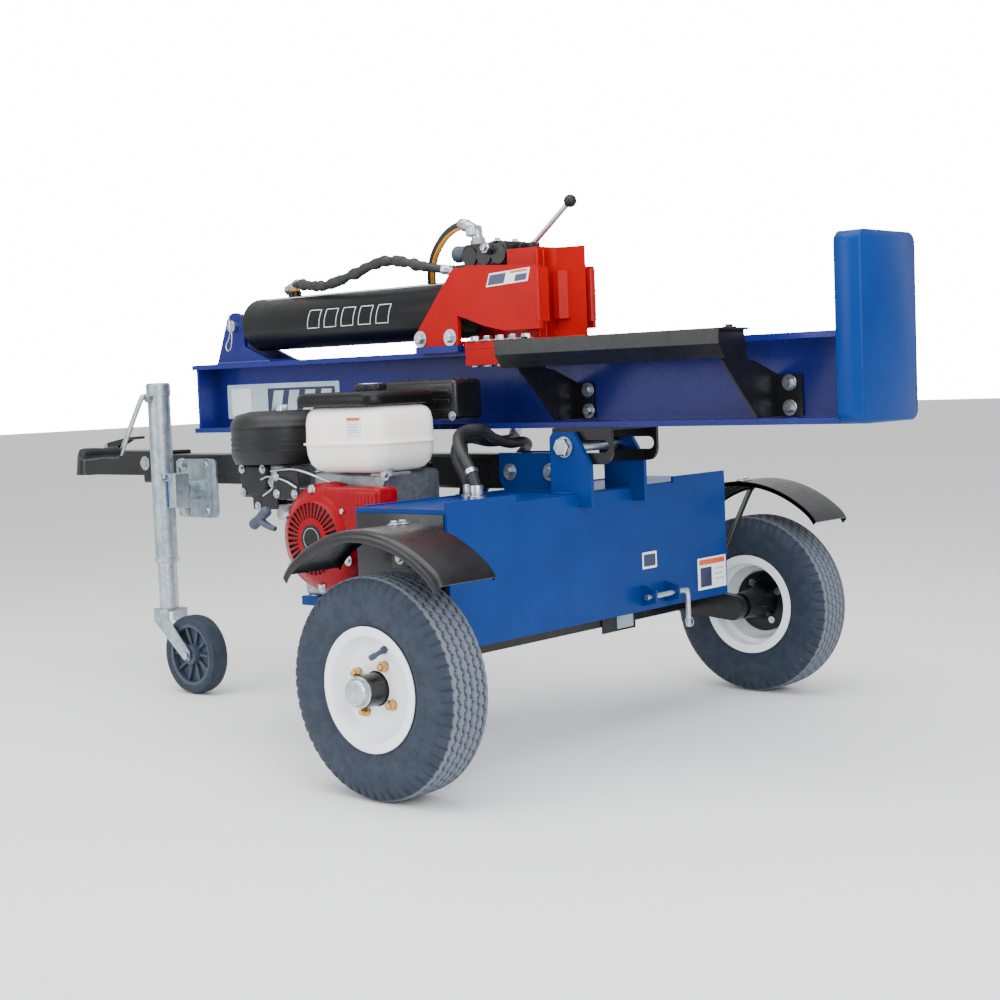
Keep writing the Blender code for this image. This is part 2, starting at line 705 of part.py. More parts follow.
def make_coupler_latch():
    high = 0.612 + GAP
    ring = [
        (-1.700, high), (-1.706, high + 0.014), (-1.690, high + 0.022), (-1.600, high + 0.036),
        (-1.555, high + 0.038)
    ]
    ring += [(-1.555, high + 0.031), (-1.600, high + 0.028), (-1.650, high + 0.010), (-1.655, high)]
    return plate("coupler_latch", ring, 0.024, "Y", 0.0, "black_paint")


def make_axle():
    low, high = AXLE_Z - 0.0275, TANK_BOTTOM - GAP
    return box(
        "axle_tube", (AXLE_X - 0.0275, -0.505, low), (AXLE_X + 0.0275, 0.505, high), "black_paint", 0.004
    )


def make_arm(side, y_sign):
    """Trailing torsion arm with its pivot boss and wheel spindle."""
    inner, outer = 0.5055, 0.528
    ring = [*arc(AXLE_X, AXLE_Z, 0.034, 90, 270, 8), *arc(0.0, TYRE_R, 0.030, 270, 450, 8)]
    lever = plate(
        f"torsion_arm_{side}", ring, outer - inner, "Y", y_sign * (inner + outer) / 2, "black_paint"
    )
    spindle = rod(
        "spindle", (0, y_sign * (outer - 0.004), TYRE_R), (0, y_sign * 0.664, TYRE_R), 0.0125, "steel", 16
    )
    return join(lever, spindle)


def wheel_profiles():
    """Half sections as (radius, distance outwards from the wheel's middle plane)."""
    tyre = [(TYRE_R, 0.040), (TYRE_R, -0.040), (TYRE_R - 0.008, -0.051), (TYRE_R - 0.032, -TYRE_HALF)]
    tyre += [
        (TYRE_R - 0.058, -TYRE_HALF + 0.004), (RIM_R + 0.010, -0.050), (RIM_R - 0.010, -0.0475),
        (RIM_R - 0.0155, -0.038)
    ]
    tyre += [
        (RIM_R - 0.0155, 0.038), (RIM_R - 0.010, 0.0475), (RIM_R + 0.010, 0.050),
        (TYRE_R - 0.058, TYRE_HALF - 0.004)
    ]
    tyre += [(TYRE_R - 0.032, TYRE_HALF), (TYRE_R - 0.008, 0.051)]
    rim = [
        (RIM_R, 0.0535), (RIM_R, 0.0505), (RIM_R - 0.0165, 0.0485), (RIM_R - 0.0165, 0.0200),
        (RIM_R - 0.026, 0.012)
    ]
    rim += [
        (RIM_R - 0.026, -0.012), (RIM_R - 0.0165, -0.020), (RIM_R - 0.0165, -0.0485), (RIM_R, -0.0505),
        (RIM_R, -0.0535)
    ]
    rim += [
        (RIM_R - 0.0195, -0.0515), (RIM_R - 0.0195, -0.022), (RIM_R - 0.029, -0.014), (RIM_R - 0.029, 0.014)
    ]
    rim += [(0.080, 0.024), (0.070, 0.027), (0.036, 0.027), (0.036, 0.031), (0.070, 0.031), (0.084, 0.027)]
    rim += [(RIM_R - 0.0195, 0.024), (RIM_R - 0.0195, 0.0515)]
    return tyre, rim


def make_wheel(side, y_sign):
    """Tyre, dished rim and flanged hub, with the profiles' positive heights facing outwards."""
    hub = [
        (0.0, 0.092), (0.020, 0.090), (0.027, 0.083), (0.028, 0.072), (0.0305, 0.071), (0.0305, 0.0265),
        (0.0700, 0.0265)
    ]
    hub += [
        (0.0725, 0.0240), (0.0725, 0.014), (0.040, 0.012), (0.034, -0.030), (0.030, -0.085),
        (0.0132, -0.085)
    ]
    hub += [(0.0132, 0.060), (0.0, 0.060)]
    centre = (0, y_sign * TRACK_HALF, TYRE_R)
    tyre, rim = wheel_profiles()
    pieces = (
        ("tyre", tyre, "tyre_rubber", True), ("rim", rim, "white_paint", True),
        ("hub", hub, "black_paint", False)
    )
    for name, profile, paint, closed in pieces:
        if y_sign < 0:
            profile = [(r, -h) for r, h in profile][::-1]
        turned(f"{name}_{side}", profile, paint, centre, "Y", 24, closed)


def make_fender(side, y_sign, wall):
    """Arched mudguard with a turned-down outer lip and a mounting strap to the reservoir's end."""
    cx, cz, thick = 0.0, 0.2095, 0.003
    outer = arc(cx, cz, FENDER_R, 45, 135, 16)
    top = plate(
        f"fender_{side}", outer + arc(cx, cz, FENDER_R - thick, 135, 45, 16), 0.150, "Y", y_sign * 0.625,
        "black_paint"
    )
    rim = arc(cx, cz, FENDER_R - 0.0005, 46, 134, 16) + arc(cx, cz, FENDER_R - 0.018, 134, 46, 16)
    lip = plate("lip", rim, 0.004, "Y", y_sign * 0.6975, "black_paint")
    low, high = sorted((wall + y_sign * GAP, y_sign * 0.575))
    strap = box("strap", (-0.110, low, 0.4840), (-0.060, high, 0.4900), "black_paint")
    low, high = sorted((wall + y_sign * GAP, wall + y_sign * 0.006))
    foot = box("foot", (-0.108, low, 0.410), (-0.062, high, 0.4890), "black_paint")
    return join(top, lip, strap, foot)


# ---------------------------------------------------------------- engine


def make_engine():
    x, y, z = CRANK
    box(
        "engine_base", (-0.530, -0.360, BASE_TOP - 0.020), (TANK_FRONT - GAP, -0.050, BASE_TOP),
        "blue_paint"
    )
    case = box(
        "engine_block", (x - 0.115, -0.356, BASE_TOP + GAP), (x + 0.100, -0.145, z + 0.070), "cast_alloy",
        0.010
    )
    head = box("head", (x - 0.190, -0.330, z - 0.010), (x - 0.090, -0.170, z + 0.102), "cast_alloy", 0.008)
    deck = box("deck", (x - 0.100, -0.330, z + 0.050), (x + 0.120, -0.190, z + 0.1285), "cast_alloy", 0.006)
    face = rod("pto_face", (x, -0.150, z), (x, -0.1405, z), 0.052, "cast_alloy", 24)
    join(case, head, deck, face)
    cover = [
        (0.0, -0.076), (0.040, -0.076), (0.080, -0.072), (0.104, -0.058), (0.114, -0.036), (0.116, 0.0),
        (0.0, 0.0)
    ]
    shroud = turned("fan_cover", cover[::-1], "red_paint", (x, -0.3565, z - 0.004), "Y", 36, closed=False)
    duct = box("duct", (x + 0.020, -0.420, z + 0.010), (x + 0.190, -0.3567, z + 0.104), "red_paint", 0.016)
    join(shroud, duct)
    box("fuel_tank", (-0.475, -0.412, 0.583), (-0.230, -0.200, FUEL_TANK_TOP), "white_plastic", 0.034, 4)
    tray = (-0.488, -0.406, FUEL_TANK_TOP + GAP), (-0.242, -0.204, FUEL_TANK_TOP + 0.030)
    box("tank_tray", *tray, "black_plastic", 0.012, 3)
    cap_foot = FUEL_TANK_TOP + 0.030 + GAP
    rod(
        "fuel_cap", (-0.340, -0.310, cap_foot), (-0.340, -0.310, cap_foot + 0.016), 0.034, "black_plastic",
        24, 0.003
    )
    profile = [
        (0.0, 0.716), (0.070, 0.716), (0.098, 0.708), (0.110, 0.690), (0.112, 0.616), (0.104, 0.600),
        (0.0, 0.600)
    ]
    turned("air_cleaner", profile, "black_plastic", (-0.640, -0.300, 0), "Z", 28, closed=False)
    box("carburettor", (-0.738, -0.345, 0.474), (x - 0.1905, -0.235, 0.5996), "black_plastic", 0.006)
    silencer = box("muffler", (-0.430, -0.186, 0.684), (-0.215, -0.096, 0.770), "black_paint", 0.014, 3)
    stack = rod("stack", (-0.360, -0.150, z + 0.1290), (-0.360, -0.150, 0.690), 0.020, "black_paint", 16)
    join(silencer, stack)
    rod(
        "starter_grip", (-0.602, -0.4280, 0.470), (-0.548, -0.4280, 0.508), 0.0125, "black_plastic", 14,
        0.004
    )


def make_pump():
    x, z = CRANK.x, CRANK.z
    ring = [(0.048, 0.092), (0.048, 0.0), (0.038, 0.0), (0.038, 0.092)]
    turned("pump_bell_housing", ring, "cast_alloy", (x, -0.1400, z), "Y", 28)
    body = box(
        "hydraulic_pump", (x - 0.040, -0.0475, z - 0.046), (x + 0.046, 0.088, z + 0.046), "cast_alloy",
        0.004
    )
    join(body, rod("pump_nose", (x, -0.058, z), (x, -0.040, z), 0.030, "cast_alloy", 20))
    rod("drive_shaft", (x, -0.1400, z), (x, -0.0585, z), 0.0125, "steel", 16)


# ---------------------------------------------------------------- jack


def make_jack():
    x, y = JACK.x, JACK.y
    face = -TONGUE_HALF - GAP
    mount = plate(
        "jack_mount", round_rect(-1.350, 0.440, -1.190, 0.592, 0.012, 2), 0.006, "Y", face - 0.003, "zinc"
    )
    post = rod(
        "post", (JACK_PIVOT_X, face - 0.003, JACK_PIVOT_Z),
        (JACK_PIVOT_X, y + JACK_R + 0.0105, JACK_PIVOT_Z), 0.026, "zinc", 20
    )
    ribs = [
        box(f"rib_{i}", (rx, face - 0.014, 0.446), (rx + 0.006, face - 0.002, 0.586), "zinc")
        for i, rx in enumerate((-1.214, -1.340))
    ]
    join(mount, post, *ribs)
    profile = [(0.0, JACK_TOP), (JACK_R, JACK_TOP), (JACK_R, JACK_LOW), (JACK_R - 0.003, JACK_LOW)]
    profile += [(JACK_R - 0.003, JACK_TOP - 0.005), (0.0, JACK_TOP - 0.005)]
    outer = turned("jack_outer_tube", profile, "zinc", (x, y, 0), "Z", 28, closed=False)
    swivel = box(
        "swivel", (x + JACK_R - 0.002, y - 0.010, 0.470), (JACK_PIVOT_X + 0.026, y + JACK_R + 0.010, 0.560),
        "zinc", 0.003
    )
    join(outer, swivel)
    bore = JACK_R - 0.0038
    inner = [(bore, 0.560), (bore, FORK_TOP + GAP), (bore - 0.003, FORK_TOP + GAP), (bore - 0.003, 0.560)]
    turned("jack_inner_tube", inner, "zinc", (x, y, 0), "Z", 28)


def make_crank():
    """Side crank: a shaft out of the tube, an arm and a grip parallel to the shaft."""
    x, y, z = JACK.x, JACK.y - JACK_R - GAP, CRANK_Z
    end = Vector((x - 0.092, y - 0.028, z - 0.136))
    path = [
        (x, y, z), (x, y - 0.016, z), (x - 0.006, y - 0.024, z - 0.008),
        (end.x + 0.006, end.y + 0.004, end.z + 0.008)
    ]
    path += [tuple(end), (end.x, end.y - 0.014, end.z)]
    arm = tube("jack_crank", path, 0.0062, "zinc", 2)
    grip = rod(
        "grip", (end.x, end.y - 0.010, end.z), (end.x, end.y - 0.125, end.z), 0.016, "black_plastic", 16,
        0.003
    )
    return join(arm, grip)


def make_caster():
    x, y, z = JACK.x, JACK.y, CASTER_R
    crown = box(
        "caster_fork", (x - 0.028, y - 0.031, FORK_TOP - 0.005), (x + 0.034, y + 0.031, FORK_TOP), "zinc"
    )
    ring = [
        (x - 0.026, FORK_TOP - 0.001), (x - 0.026, 0.180), (CASTER_X - 0.012, z - 0.012),
        (CASTER_X + 0.010, z - 0.012)
    ]
    ring += [(CASTER_X + 0.012, z + 0.010), (x + 0.032, 0.190), (x + 0.032, FORK_TOP - 0.001)]
    legs = [plate(f"leg_{i}", ring, 0.003, "Y", y + dy, "zinc") for i, dy in enumerate((-0.030, 0.030))]
    axle = rod("axle", (CASTER_X, y - 0.037, z), (CASTER_X, y + 0.037, z), 0.006, "zinc", 16)
    join(crown, *legs, axle)
    tread = [(0.088, 0.022), (z, 0.012), (z, -0.012), (0.088, -0.022), (0.078, -0.019), (0.074, -0.006)]
    tread += [
        (0.026, -0.006), (0.022, -0.024), (0.0065, -0.024), (0.0065, 0.024), (0.022, 0.024), (0.026, 0.006)
    ]
    tread += [(0.074, 0.006), (0.078, 0.019)]
    turned("caster_wheel", tread, "black_plastic", (CASTER_X, y, z), "Y", 24)


def make_lock_pin():
    x, z = LOCK_X, LOCK_Z
    path = [
        (x, 0.090, z), (x, 0.228, z), (x, 0.238, z - 0.004), (x, 0.243, z - 0.014), (x, 0.244, z - 0.082)
    ]
    return tube("lock_pin", path, 0.0060, "zinc", 2)


# ---------------------------------------------------------------- assembly


JOINTS = (
    ("beam_tilt", PIVOT, None, ["pivot_shaft"]),
    ("beam_group", PIVOT, "beam_tilt", [
        "beam", "foot_plate", "beam_pivot_bracket", "cylinder_clevis", "cylinder_barrel", "cylinder_pin",
        "stripper_near",
        "stripper_far", "control_valve", "cylinder_hose", "log_table", "table_bracket_back",
        "table_bracket_front",
    ]),
    ("wedge_group", (SLIDE_BACK, 0, CYL_Z), "beam_group", [
        "wedge", "slide_gib_near", "slide_gib_far", "piston_rod", "rod_pin",
    ]),
    ("valve_lever_axis", (-0.172, 0.036, 1.053), "beam_group", ["valve_lever"]),
    ("wheel_near", (0, -TRACK_HALF, TYRE_R), None, ["tyre_near", "rim_near", "hub_near"]),
    ("wheel_far", (0, TRACK_HALF, TYRE_R), None, ["tyre_far", "rim_far", "hub_far"]),
    ("jack_swing", (JACK_PIVOT_X, JACK.y, JACK_PIVOT_Z), None, ["jack_outer_tube"]),
    ("jack_crank_axis", (JACK.x, JACK.y, CRANK_Z), "jack_swing", ["jack_crank"]),
    ("jack_extend", (JACK.x, JACK.y, FORK_TOP), "jack_swing", ["jack_inner_tube"]),
    ("caster_swivel", (JACK.x, JACK.y, FORK_TOP), "jack_extend", ["caster_fork"]),
    ("caster_roll", (CASTER_X, JACK.y, CASTER_R), "caster_swivel", ["caster_wheel"]),
    ("latch_hinge", (-1.700, 0, 0.618), None, ["coupler_latch"]),
    ("lock_slide", (LOCK_X, 0.1, LOCK_Z), None, ["lock_pin"]),
)


def assemble():
    """Parents every part to its joint's empty, and the empties to a datum at the axle, at X = DATUM_X."""
    empties, places = {}, {}
    for name, place, parent, nodes in (("axle_datum", (0, 0, 0), None, []), *JOINTS):
        empty = bpy.data.objects.new(name, None)
        PARTS.objects.link(empty)
        parent = parent or ("axle_datum" if name != "axle_datum" else None)
        empty.parent = empties.get(parent)
        empty.location = Vector(place) - places.get(parent, Vector())
        empties[name], places[name] = empty, Vector(place)
        for node in nodes:
            obj = bpy.data.objects[node]
            obj.parent = empty
            obj.location -= places[name]
    for obj in [*PARTS.objects, *CUTTERS.objects]:
        if obj.parent is None and obj.type != "EMPTY":
            obj.parent = empties["axle_datum"]
    for obj in CUTTERS.objects:
        user = next(
            part
            for part in PARTS.objects if any(m.type == "BOOLEAN" and m.object == obj for m in part.modifiers)
        )
        if user.parent.name != "axle_datum":
            obj.parent = user.parent
            obj.location = user.location
    empties["axle_datum"].location = (DATUM_X, 0, 0)


def main():
    make_beam()
    make_foot_plate()
    make_pivot_bracket()
    make_cylinder_clevis()
    make_cylinder()
    make_pin("cylinder_pin", PIN_X, 0.056, 0.0124)
    make_piston_rod()
    make_pin("rod_pin", ROD_PIN_X, 0.050, 0.0085)
    make_wedge()
    for side, y_sign in (("near", -1), ("far", 1)):
        make_slide_gib(side, y_sign)
        make_stripper(side, y_sign)
        make_arm(side, y_sign)
        make_wheel(side, y_sign)
        make_fender(side, y_sign, TANK_NEAR if y_sign < 0 else TANK_FAR)
    make_valve()
    make_valve_lever()
    make_hoses()
    make_log_table()
    make_table_bracket("table_bracket_back", -0.030, 0.018, 0.676, 0.752)
    make_table_bracket("table_bracket_front", 0.462, 0.520, 0.6735, 0.754)
    make_reservoir()
    rod(
        "filler_cap", (*FILLER, TANK_LID + GAP), (*FILLER, TANK_LID + 0.022), 0.028, "black_plastic", 20,
        0.002
    )
    make_pivot_shaft()
    make_tongue()
    make_beam_rest()
    make_coupler()
    make_coupler_latch()
    make_axle()
    make_engine()
    make_pump()
    make_jack()
    make_crank()
    make_caster()
    make_lock_pin()
    assemble()


main()
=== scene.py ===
import json
import math
import bmesh
import bpy
import numpy as np
from mathutils import Matrix, Vector


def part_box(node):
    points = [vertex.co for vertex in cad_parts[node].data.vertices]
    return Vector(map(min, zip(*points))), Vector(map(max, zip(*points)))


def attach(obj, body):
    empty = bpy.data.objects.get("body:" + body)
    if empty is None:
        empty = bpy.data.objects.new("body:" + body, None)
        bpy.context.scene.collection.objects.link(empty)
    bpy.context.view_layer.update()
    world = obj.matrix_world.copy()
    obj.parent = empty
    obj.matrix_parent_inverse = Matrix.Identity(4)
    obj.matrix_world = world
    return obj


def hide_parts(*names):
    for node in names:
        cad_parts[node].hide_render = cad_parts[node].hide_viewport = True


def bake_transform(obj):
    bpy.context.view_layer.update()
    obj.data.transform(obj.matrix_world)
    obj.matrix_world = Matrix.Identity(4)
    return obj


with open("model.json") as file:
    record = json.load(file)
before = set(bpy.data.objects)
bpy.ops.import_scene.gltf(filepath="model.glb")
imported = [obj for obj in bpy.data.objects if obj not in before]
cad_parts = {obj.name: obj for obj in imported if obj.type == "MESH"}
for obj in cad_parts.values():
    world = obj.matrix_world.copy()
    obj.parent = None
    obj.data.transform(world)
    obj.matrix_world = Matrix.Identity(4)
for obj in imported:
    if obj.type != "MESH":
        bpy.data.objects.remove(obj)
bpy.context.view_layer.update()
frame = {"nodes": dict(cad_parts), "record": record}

nodes = frame["nodes"]
rng = np.random.default_rng(7)
tyreLow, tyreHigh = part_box("tyre_near")
axleX = (tyreLow[0] + tyreHigh[0]) / 2  # every place below is measured from the axle


def at(x, y, z):
    return np.array([x + axleX, y, z], float)


# ---- finishes: what each surface is, its two tones, and the real size of its texture in millimetres

finishes = {
    # sprayed enamel on steel: clear gloss, a faint orange peel about 3 mm across
    "blueEnamel": dict(
        tones=("#003278", "#002e70"), mottle=120, rough=(0.30, 0.36), peel=3.0, depth=0.006, coat=0.03,
        shine=0.14
    ),
    # a darker, more violet blue enamel, for the beam and the cylinder clevis
    "beamEnamel": dict(
        tones=("#131e70", "#151b66"), mottle=90, rough=(0.25, 0.34), peel=3.5, depth=0.012, coat=0.08,
        shine=0.25
    ),
    "redEnamel": dict(
        tones=("#a60003", "#9c0002"), mottle=70, rough=(0.28, 0.36), peel=3.0, depth=0.03, coat=0.02,
        shine=0.10
    ),
    "coverEnamel": dict(
        tones=("#8e0012", "#84000f"), mottle=60, rough=(0.24, 0.32), peel=2.5, depth=0.03, coat=0.04,
        shine=0.14
    ),
    # powder coat: satin, finely textured
    "blackPowderCoat": dict(
        tones=("#0e0f11", "#141518"), mottle=60, rough=(0.26, 0.38), peel=1.6, depth=0.03, coat=0.05,
        shine=0.35
    ),
    "cylinderBlack": dict(
        tones=("#08090a", "#0c0d0f"), mottle=80, rough=(0.3, 0.4), peel=2.5, depth=0.02, coat=0.0, shine=0.22
    ),
    "mouldedBlack": dict(
        tones=("#0f1012", "#15171a"), mottle=50, rough=(0.36, 0.48), peel=1.2, depth=0.05, coat=0.0,
        shine=0.35
    ),
    "blueGreyPlastic": dict(
        tones=("#3b4656", "#333d4c"), mottle=30, rough=(0.4, 0.5), peel=1.2, depth=0.05, coat=0.0
    ),
    # white stove enamel on pressed rims
    "rimEnamel": dict(
        tones=("#fafdff", "#f0f9fd"), mottle=50, rough=(0.22, 0.3), peel=3.0, depth=0.03, coat=0.3
    ),
    # polyethylene tank: translucent cream, slightly waxy
    "tankPolyethylene": dict(
        tones=("#fffdf6", "#fbf8ee"), mottle=90, rough=(0.25, 0.36), peel=4.0, depth=0.03, coat=0.2
    ),
    "vulcanisedRubber": dict(
        tones=("#222b38", "#2a3544"), mottle=25, rough=(0.55, 0.75), peel=0.9, depth=0.08, coat=0.0, shine=0.3
    ),
    "hoseRubber": dict(
        tones=("#1b1d20", "#27292d"), mottle=14, rough=(0.45, 0.62), peel=1.4, depth=0.12, coat=0.0
    ),
    "orangeStripe": dict(
        tones=("#e59a1c", "#cf8412"), mottle=10, rough=(0.4, 0.5), peel=1.4, depth=0.05, coat=0.0
    ),
    # bright zinc plate: bluish, spangled a few millimetres across
    "zincPlate": dict(
        tones=("#c3cbd2", "#a7b1ba"), mottle=9, rough=(0.24, 0.4), peel=2.0, depth=0.05, coat=0.0, metal=1.0
    ),
    "galvanised": dict(
        tones=("#b4bfc6", "#93a0a9"), mottle=18, rough=(0.34, 0.5), peel=4.0, depth=0.06, coat=0.0, metal=0.9
    ),
    "yellowZinc": dict(
        tones=("#d0a64e", "#b98f63"), mottle=6, rough=(0.25, 0.4), peel=1.5, depth=0.04, coat=0.0, metal=1.0
    ),
    # die-cast aluminium: dull, pebbled by the mould
    "castAluminium": dict(
        tones=("#a3a7ab", "#8d9195"), mottle=12, rough=(0.42, 0.58), peel=1.4, depth=0.12, coat=0.0,
        metal=0.85
    ),
    "hardChrome": dict(
        tones=("#dcdfe2", "#cfd3d7"), mottle=30, rough=(0.07, 0.13), peel=6.0, depth=0.01, coat=0.0, metal=1.0
    ),
    "weldBead": dict(
        tones=("#2b3d86", "#243379"), mottle=4, rough=(0.3, 0.45), peel=2.2, depth=0.3, coat=0.2
    ),
    "redWeld": dict(
        tones=("#b0060c", "#a00208"), mottle=4, rough=(0.25, 0.4), peel=2.2, depth=0.3, coat=0.05, shine=0.2
    ),
    "paleLabel": dict(
        tones=("#b9ccd4", "#a3bac6"), mottle=60, rough=(0.3, 0.36), peel=8.0, depth=0.0, coat=0.3
    ),
    "whiteLabel": dict(
        tones=("#f2f3f4", "#ebedf0"), mottle=60, rough=(0.32, 0.38), peel=8.0, depth=0.0, coat=0.3
    ),
    "darkLabel": dict(
        tones=("#20244f", "#1b1f44"), mottle=60, rough=(0.32, 0.38), peel=8.0, depth=0.0, coat=0.3
    ),
    "amberLabel": dict(
        tones=("#d8562a", "#cc4c24"), mottle=60, rough=(0.32, 0.38), peel=8.0, depth=0.0, coat=0.3
    ),
    "shadowBlack": dict(
        tones=("#070708", "#0b0b0c"), mottle=20, rough=(0.6, 0.8), peel=2.0, depth=0.05, coat=0.0
    ),
}


def linear(hexColour):
    """sRGB hex to linear: c / 12.92 below 0.04045, else ((c + 0.055) / 1.055) to the power 2.4."""
    c = np.array([int(hexColour[i : i + 2], 16) / 255 for i in (1, 3, 5)])
    return (*np.where(c <= 0.04045, c / 12.92, ((c + 0.055) / 1.055) ** 2.4), 1.0)


def addNode(tree, kind, values=(), links=()):
    node = tree.nodes.new(kind)
    for key, value in dict(values).items():
        if isinstance(key, str) and hasattr(node, key):
            setattr(node, key, value)
        else:
            node.inputs[key].default_value = value
    for key, (source, output) in dict(links).items():
        tree.links.new(source.outputs[output], node.inputs[key])
    return node


def makeFinish(name, spec):
    """Two tones blended by a slow noise, roughness by a second one, and a bump of the texture's real size."""
    made = bpy.data.materials.new(name)
    made.use_nodes = True
    tree = made.node_tree
    shader = tree.nodes["Principled BSDF"]
    place = addNode(tree, "ShaderNodeTexCoord")
    slow = addNode(
        tree, "ShaderNodeTexNoise", {"Scale": 1000 / spec["mottle"], "Detail": 5.0},
        {"Vector": (place, "Object")}
    )
    blend = addNode(
        tree, "ShaderNodeMix", {"data_type": "RGBA", 6: linear(spec["tones"][0]), 7: linear(spec["tones"][1])}
    )
    spread = addNode(
        tree, "ShaderNodeMapRange", {"From Min": 0.35, "From Max": 0.65}, {"Value": (slow, "Fac")}
    )
    tree.links.new(spread.outputs[0], blend.inputs[0])
    wear = addNode(
        tree, "ShaderNodeTexNoise", {"Scale": 1000 / (spec["mottle"] * 0.3), "Detail": 8.0},
        {"Vector": (place, "Object")}
    )
    low, high = spec["rough"]
    rough = addNode(
        tree, "ShaderNodeMapRange", {"From Min": 0.3, "From Max": 0.7, "To Min": low, "To Max": high},
        {"Value": (wear, "Fac")}
    )
    fine = addNode(
        tree, "ShaderNodeTexNoise", {"Scale": 1000 / spec["peel"], "Detail": 3.0},
        {"Vector": (place, "Object")}
    )
    bump = addNode(
        tree, "ShaderNodeBump", {"Strength": 0.6, "Distance": spec["depth"] / 1000}, {"Height": (fine, "Fac")}
    )
    tree.links.new(blend.outputs[2], shader.inputs["Base Color"])
    tree.links.new(rough.outputs[0], shader.inputs["Roughness"])
    tree.links.new(bump.outputs[0], shader.inputs["Normal"])
    shader.inputs["Metallic"].default_value = spec.get("metal", 0.0)
    shader.inputs["Coat Weight"].default_value = spec["coat"]
    shader.inputs["Coat Roughness"].default_value = 0.08
    shader.inputs["Specular IOR Level"].default_value = spec.get("shine", 0.4)
    return made


finish = {name: makeFinish(name, spec) for name, spec in finishes.items()}
print("finishes made:", len(finish))


def addPaleTreadFaces(made, pale):
    """The outermost tread faces, outside the grooves, are paler than the side walls: the mesh's own tread
    attribute blends them in.
    """
    tree = made.node_tree
    shader = tree.nodes["Principled BSDF"]
    below = shader.inputs["Base Color"].links[0].from_socket
    mask = addNode(tree, "ShaderNodeAttribute", {"attribute_name": "tread"})
    mix = addNode(tree, "ShaderNodeMix", {"data_type": "RGBA", 7: linear(pale)})
    tree.links.new(mask.outputs["Fac"], mix.inputs[0])
    tree.links.new(below, mix.inputs[6])
    tree.links.new(mix.outputs[2], shader.inputs["Base Color"])


addPaleTreadFaces(finish["vulcanisedRubber"], "#6d747f")

slotFinish = {
    "blue_paint": "blueEnamel", "red_paint": "redEnamel", "black_paint": "blackPowderCoat",
    "black_plastic": "mouldedBlack", "white_plastic": "tankPolyethylene", "white_paint": "rimEnamel",
    "tyre_rubber": "vulcanisedRubber",
    "hose_rubber": "hoseRubber", "zinc": "zincPlate", "steel": "hardChrome", "cast_alloy": "castAluminium",
}
nodeFinish = {
    "beam": "beamEnamel", "cylinder_clevis": "beamEnamel", "jack_mount": "galvanised",
    "caster_fork": "galvanised", "fan_cover": "coverEnamel"
}
for part in frame["record"]["subparts"]:
    shape = nodes[part["node"]]
    shape.data.materials.clear()
    shape.data.materials.append(finish[nodeFinish.get(part["node"], slotFinish[part["material_slot"]])])


# ---- shapes: each returns (points, faces), and piece() joins a list of them into one object


def gridShape(points, closeRows=False, closeColumns=True):
    """Quads over a grid of points[row, column]; a closed direction joins its last line to its first."""
    rows, columns = points.shape[:2]
    index = np.arange(rows * columns).reshape(rows, columns)
    if closeRows:
        index = np.vstack([index, index[:1]])
    if closeColumns:
        index = np.hstack([index, index[:, :1]])
    quads = np.stack([index[:-1, :-1], index[:-1, 1:], index[1:, 1:], index[1:, :-1]], -1).reshape(-1, 4)
    return points.reshape(-1, 3), quads.tolist()


def basis(axis):
    """Two unit vectors square to axis."""
    w = np.array(axis, float) / np.linalg.norm(axis)
    u = np.cross(w, (0, 0, 1) if abs(w[2]) < 0.9 else (1, 0, 0))
    u /= np.linalg.norm(u)
    return u, np.cross(w, u), w


def lathe(profile, centre, axis, steps=64, turn=0.0):
    """A profile of (radius, height) turned about axis: centre + r (cos a u + sin a v) + h w."""
    u, v, w = basis(axis)
    r, h = np.array(profile, float).T
    a = np.linspace(0, 2 * np.pi, steps, endpoint=False) + turn
    ring = np.cos(a)[:, None] * u + np.sin(a)[:, None] * v
    return gridShape(np.asarray(centre) + r[:, None, None] * ring + h[:, None, None] * w)


def ribbed(rows, centre, shareOf):
    """A turned cap of 96 columns whose radius in each row is r times shareOf(r, h)."""
    a = np.linspace(0, 2 * np.pi, 96, endpoint=False)
    ring = np.stack([np.cos(a), np.sin(a), np.zeros(96)], -1)
    return np.array([centre + (0, 0, h) + (r * shareOf(r, h) * np.ones(96))[:, None] * ring for r, h in rows])


def smoothPath(route, count):
    """count points on a Catmull-Rom curve through the route's points."""
    p = np.array(route, float)
    p = np.vstack([2 * p[0] - p[1], p, 2 * p[-1] - p[-2]])
    t = np.linspace(0, len(p) - 3, count)
    k = np.minimum(t.astype(int), len(p) - 4)
    t = (t - k)[:, None]
    a, b, c, d = p[k], p[k + 1], p[k + 2], p[k + 3]
    return 0.5 * (2 * b + (c - a) * t + (2 * a - 5 * b + 4 * c - d) * t**2 + (3 * b - a - 3 * c + d) * t**3)


def sweep(path, radius, sides=20, wrinkle=None):
    """A ring of radius(s) carried along path without twist, closed by a point at each end."""
    path = np.asarray(path, float)
    tangent = np.gradient(path, axis=0)
    tangent /= np.linalg.norm(tangent, axis=1)[:, None]
    u = basis(tangent[0])[0]
    frames = []
    for t in tangent:
        u = u - t * (u @ t)
        u /= np.linalg.norm(u)
        frames.append(u)
    u = np.array(frames)
    v = np.cross(tangent, u)
    a = np.linspace(0, 2 * np.pi, sides, endpoint=False)
    r = np.broadcast_to(np.asarray(radius, float).reshape(-1, 1), (len(path), sides)).copy()
    if wrinkle is not None:
        r = r + wrinkle(np.arange(len(path))[:, None], a[None, :])
    around = np.cos(a)[None, :, None] * u[:, None] + np.sin(a)[None, :, None] * v[:, None]
    rings = path[:, None] + r[..., None] * around
    ends = [np.repeat(path[k][None, None], sides, 1) for k in (0, -1)]
    return gridShape(np.concatenate([ends[0], rings, ends[1]]))


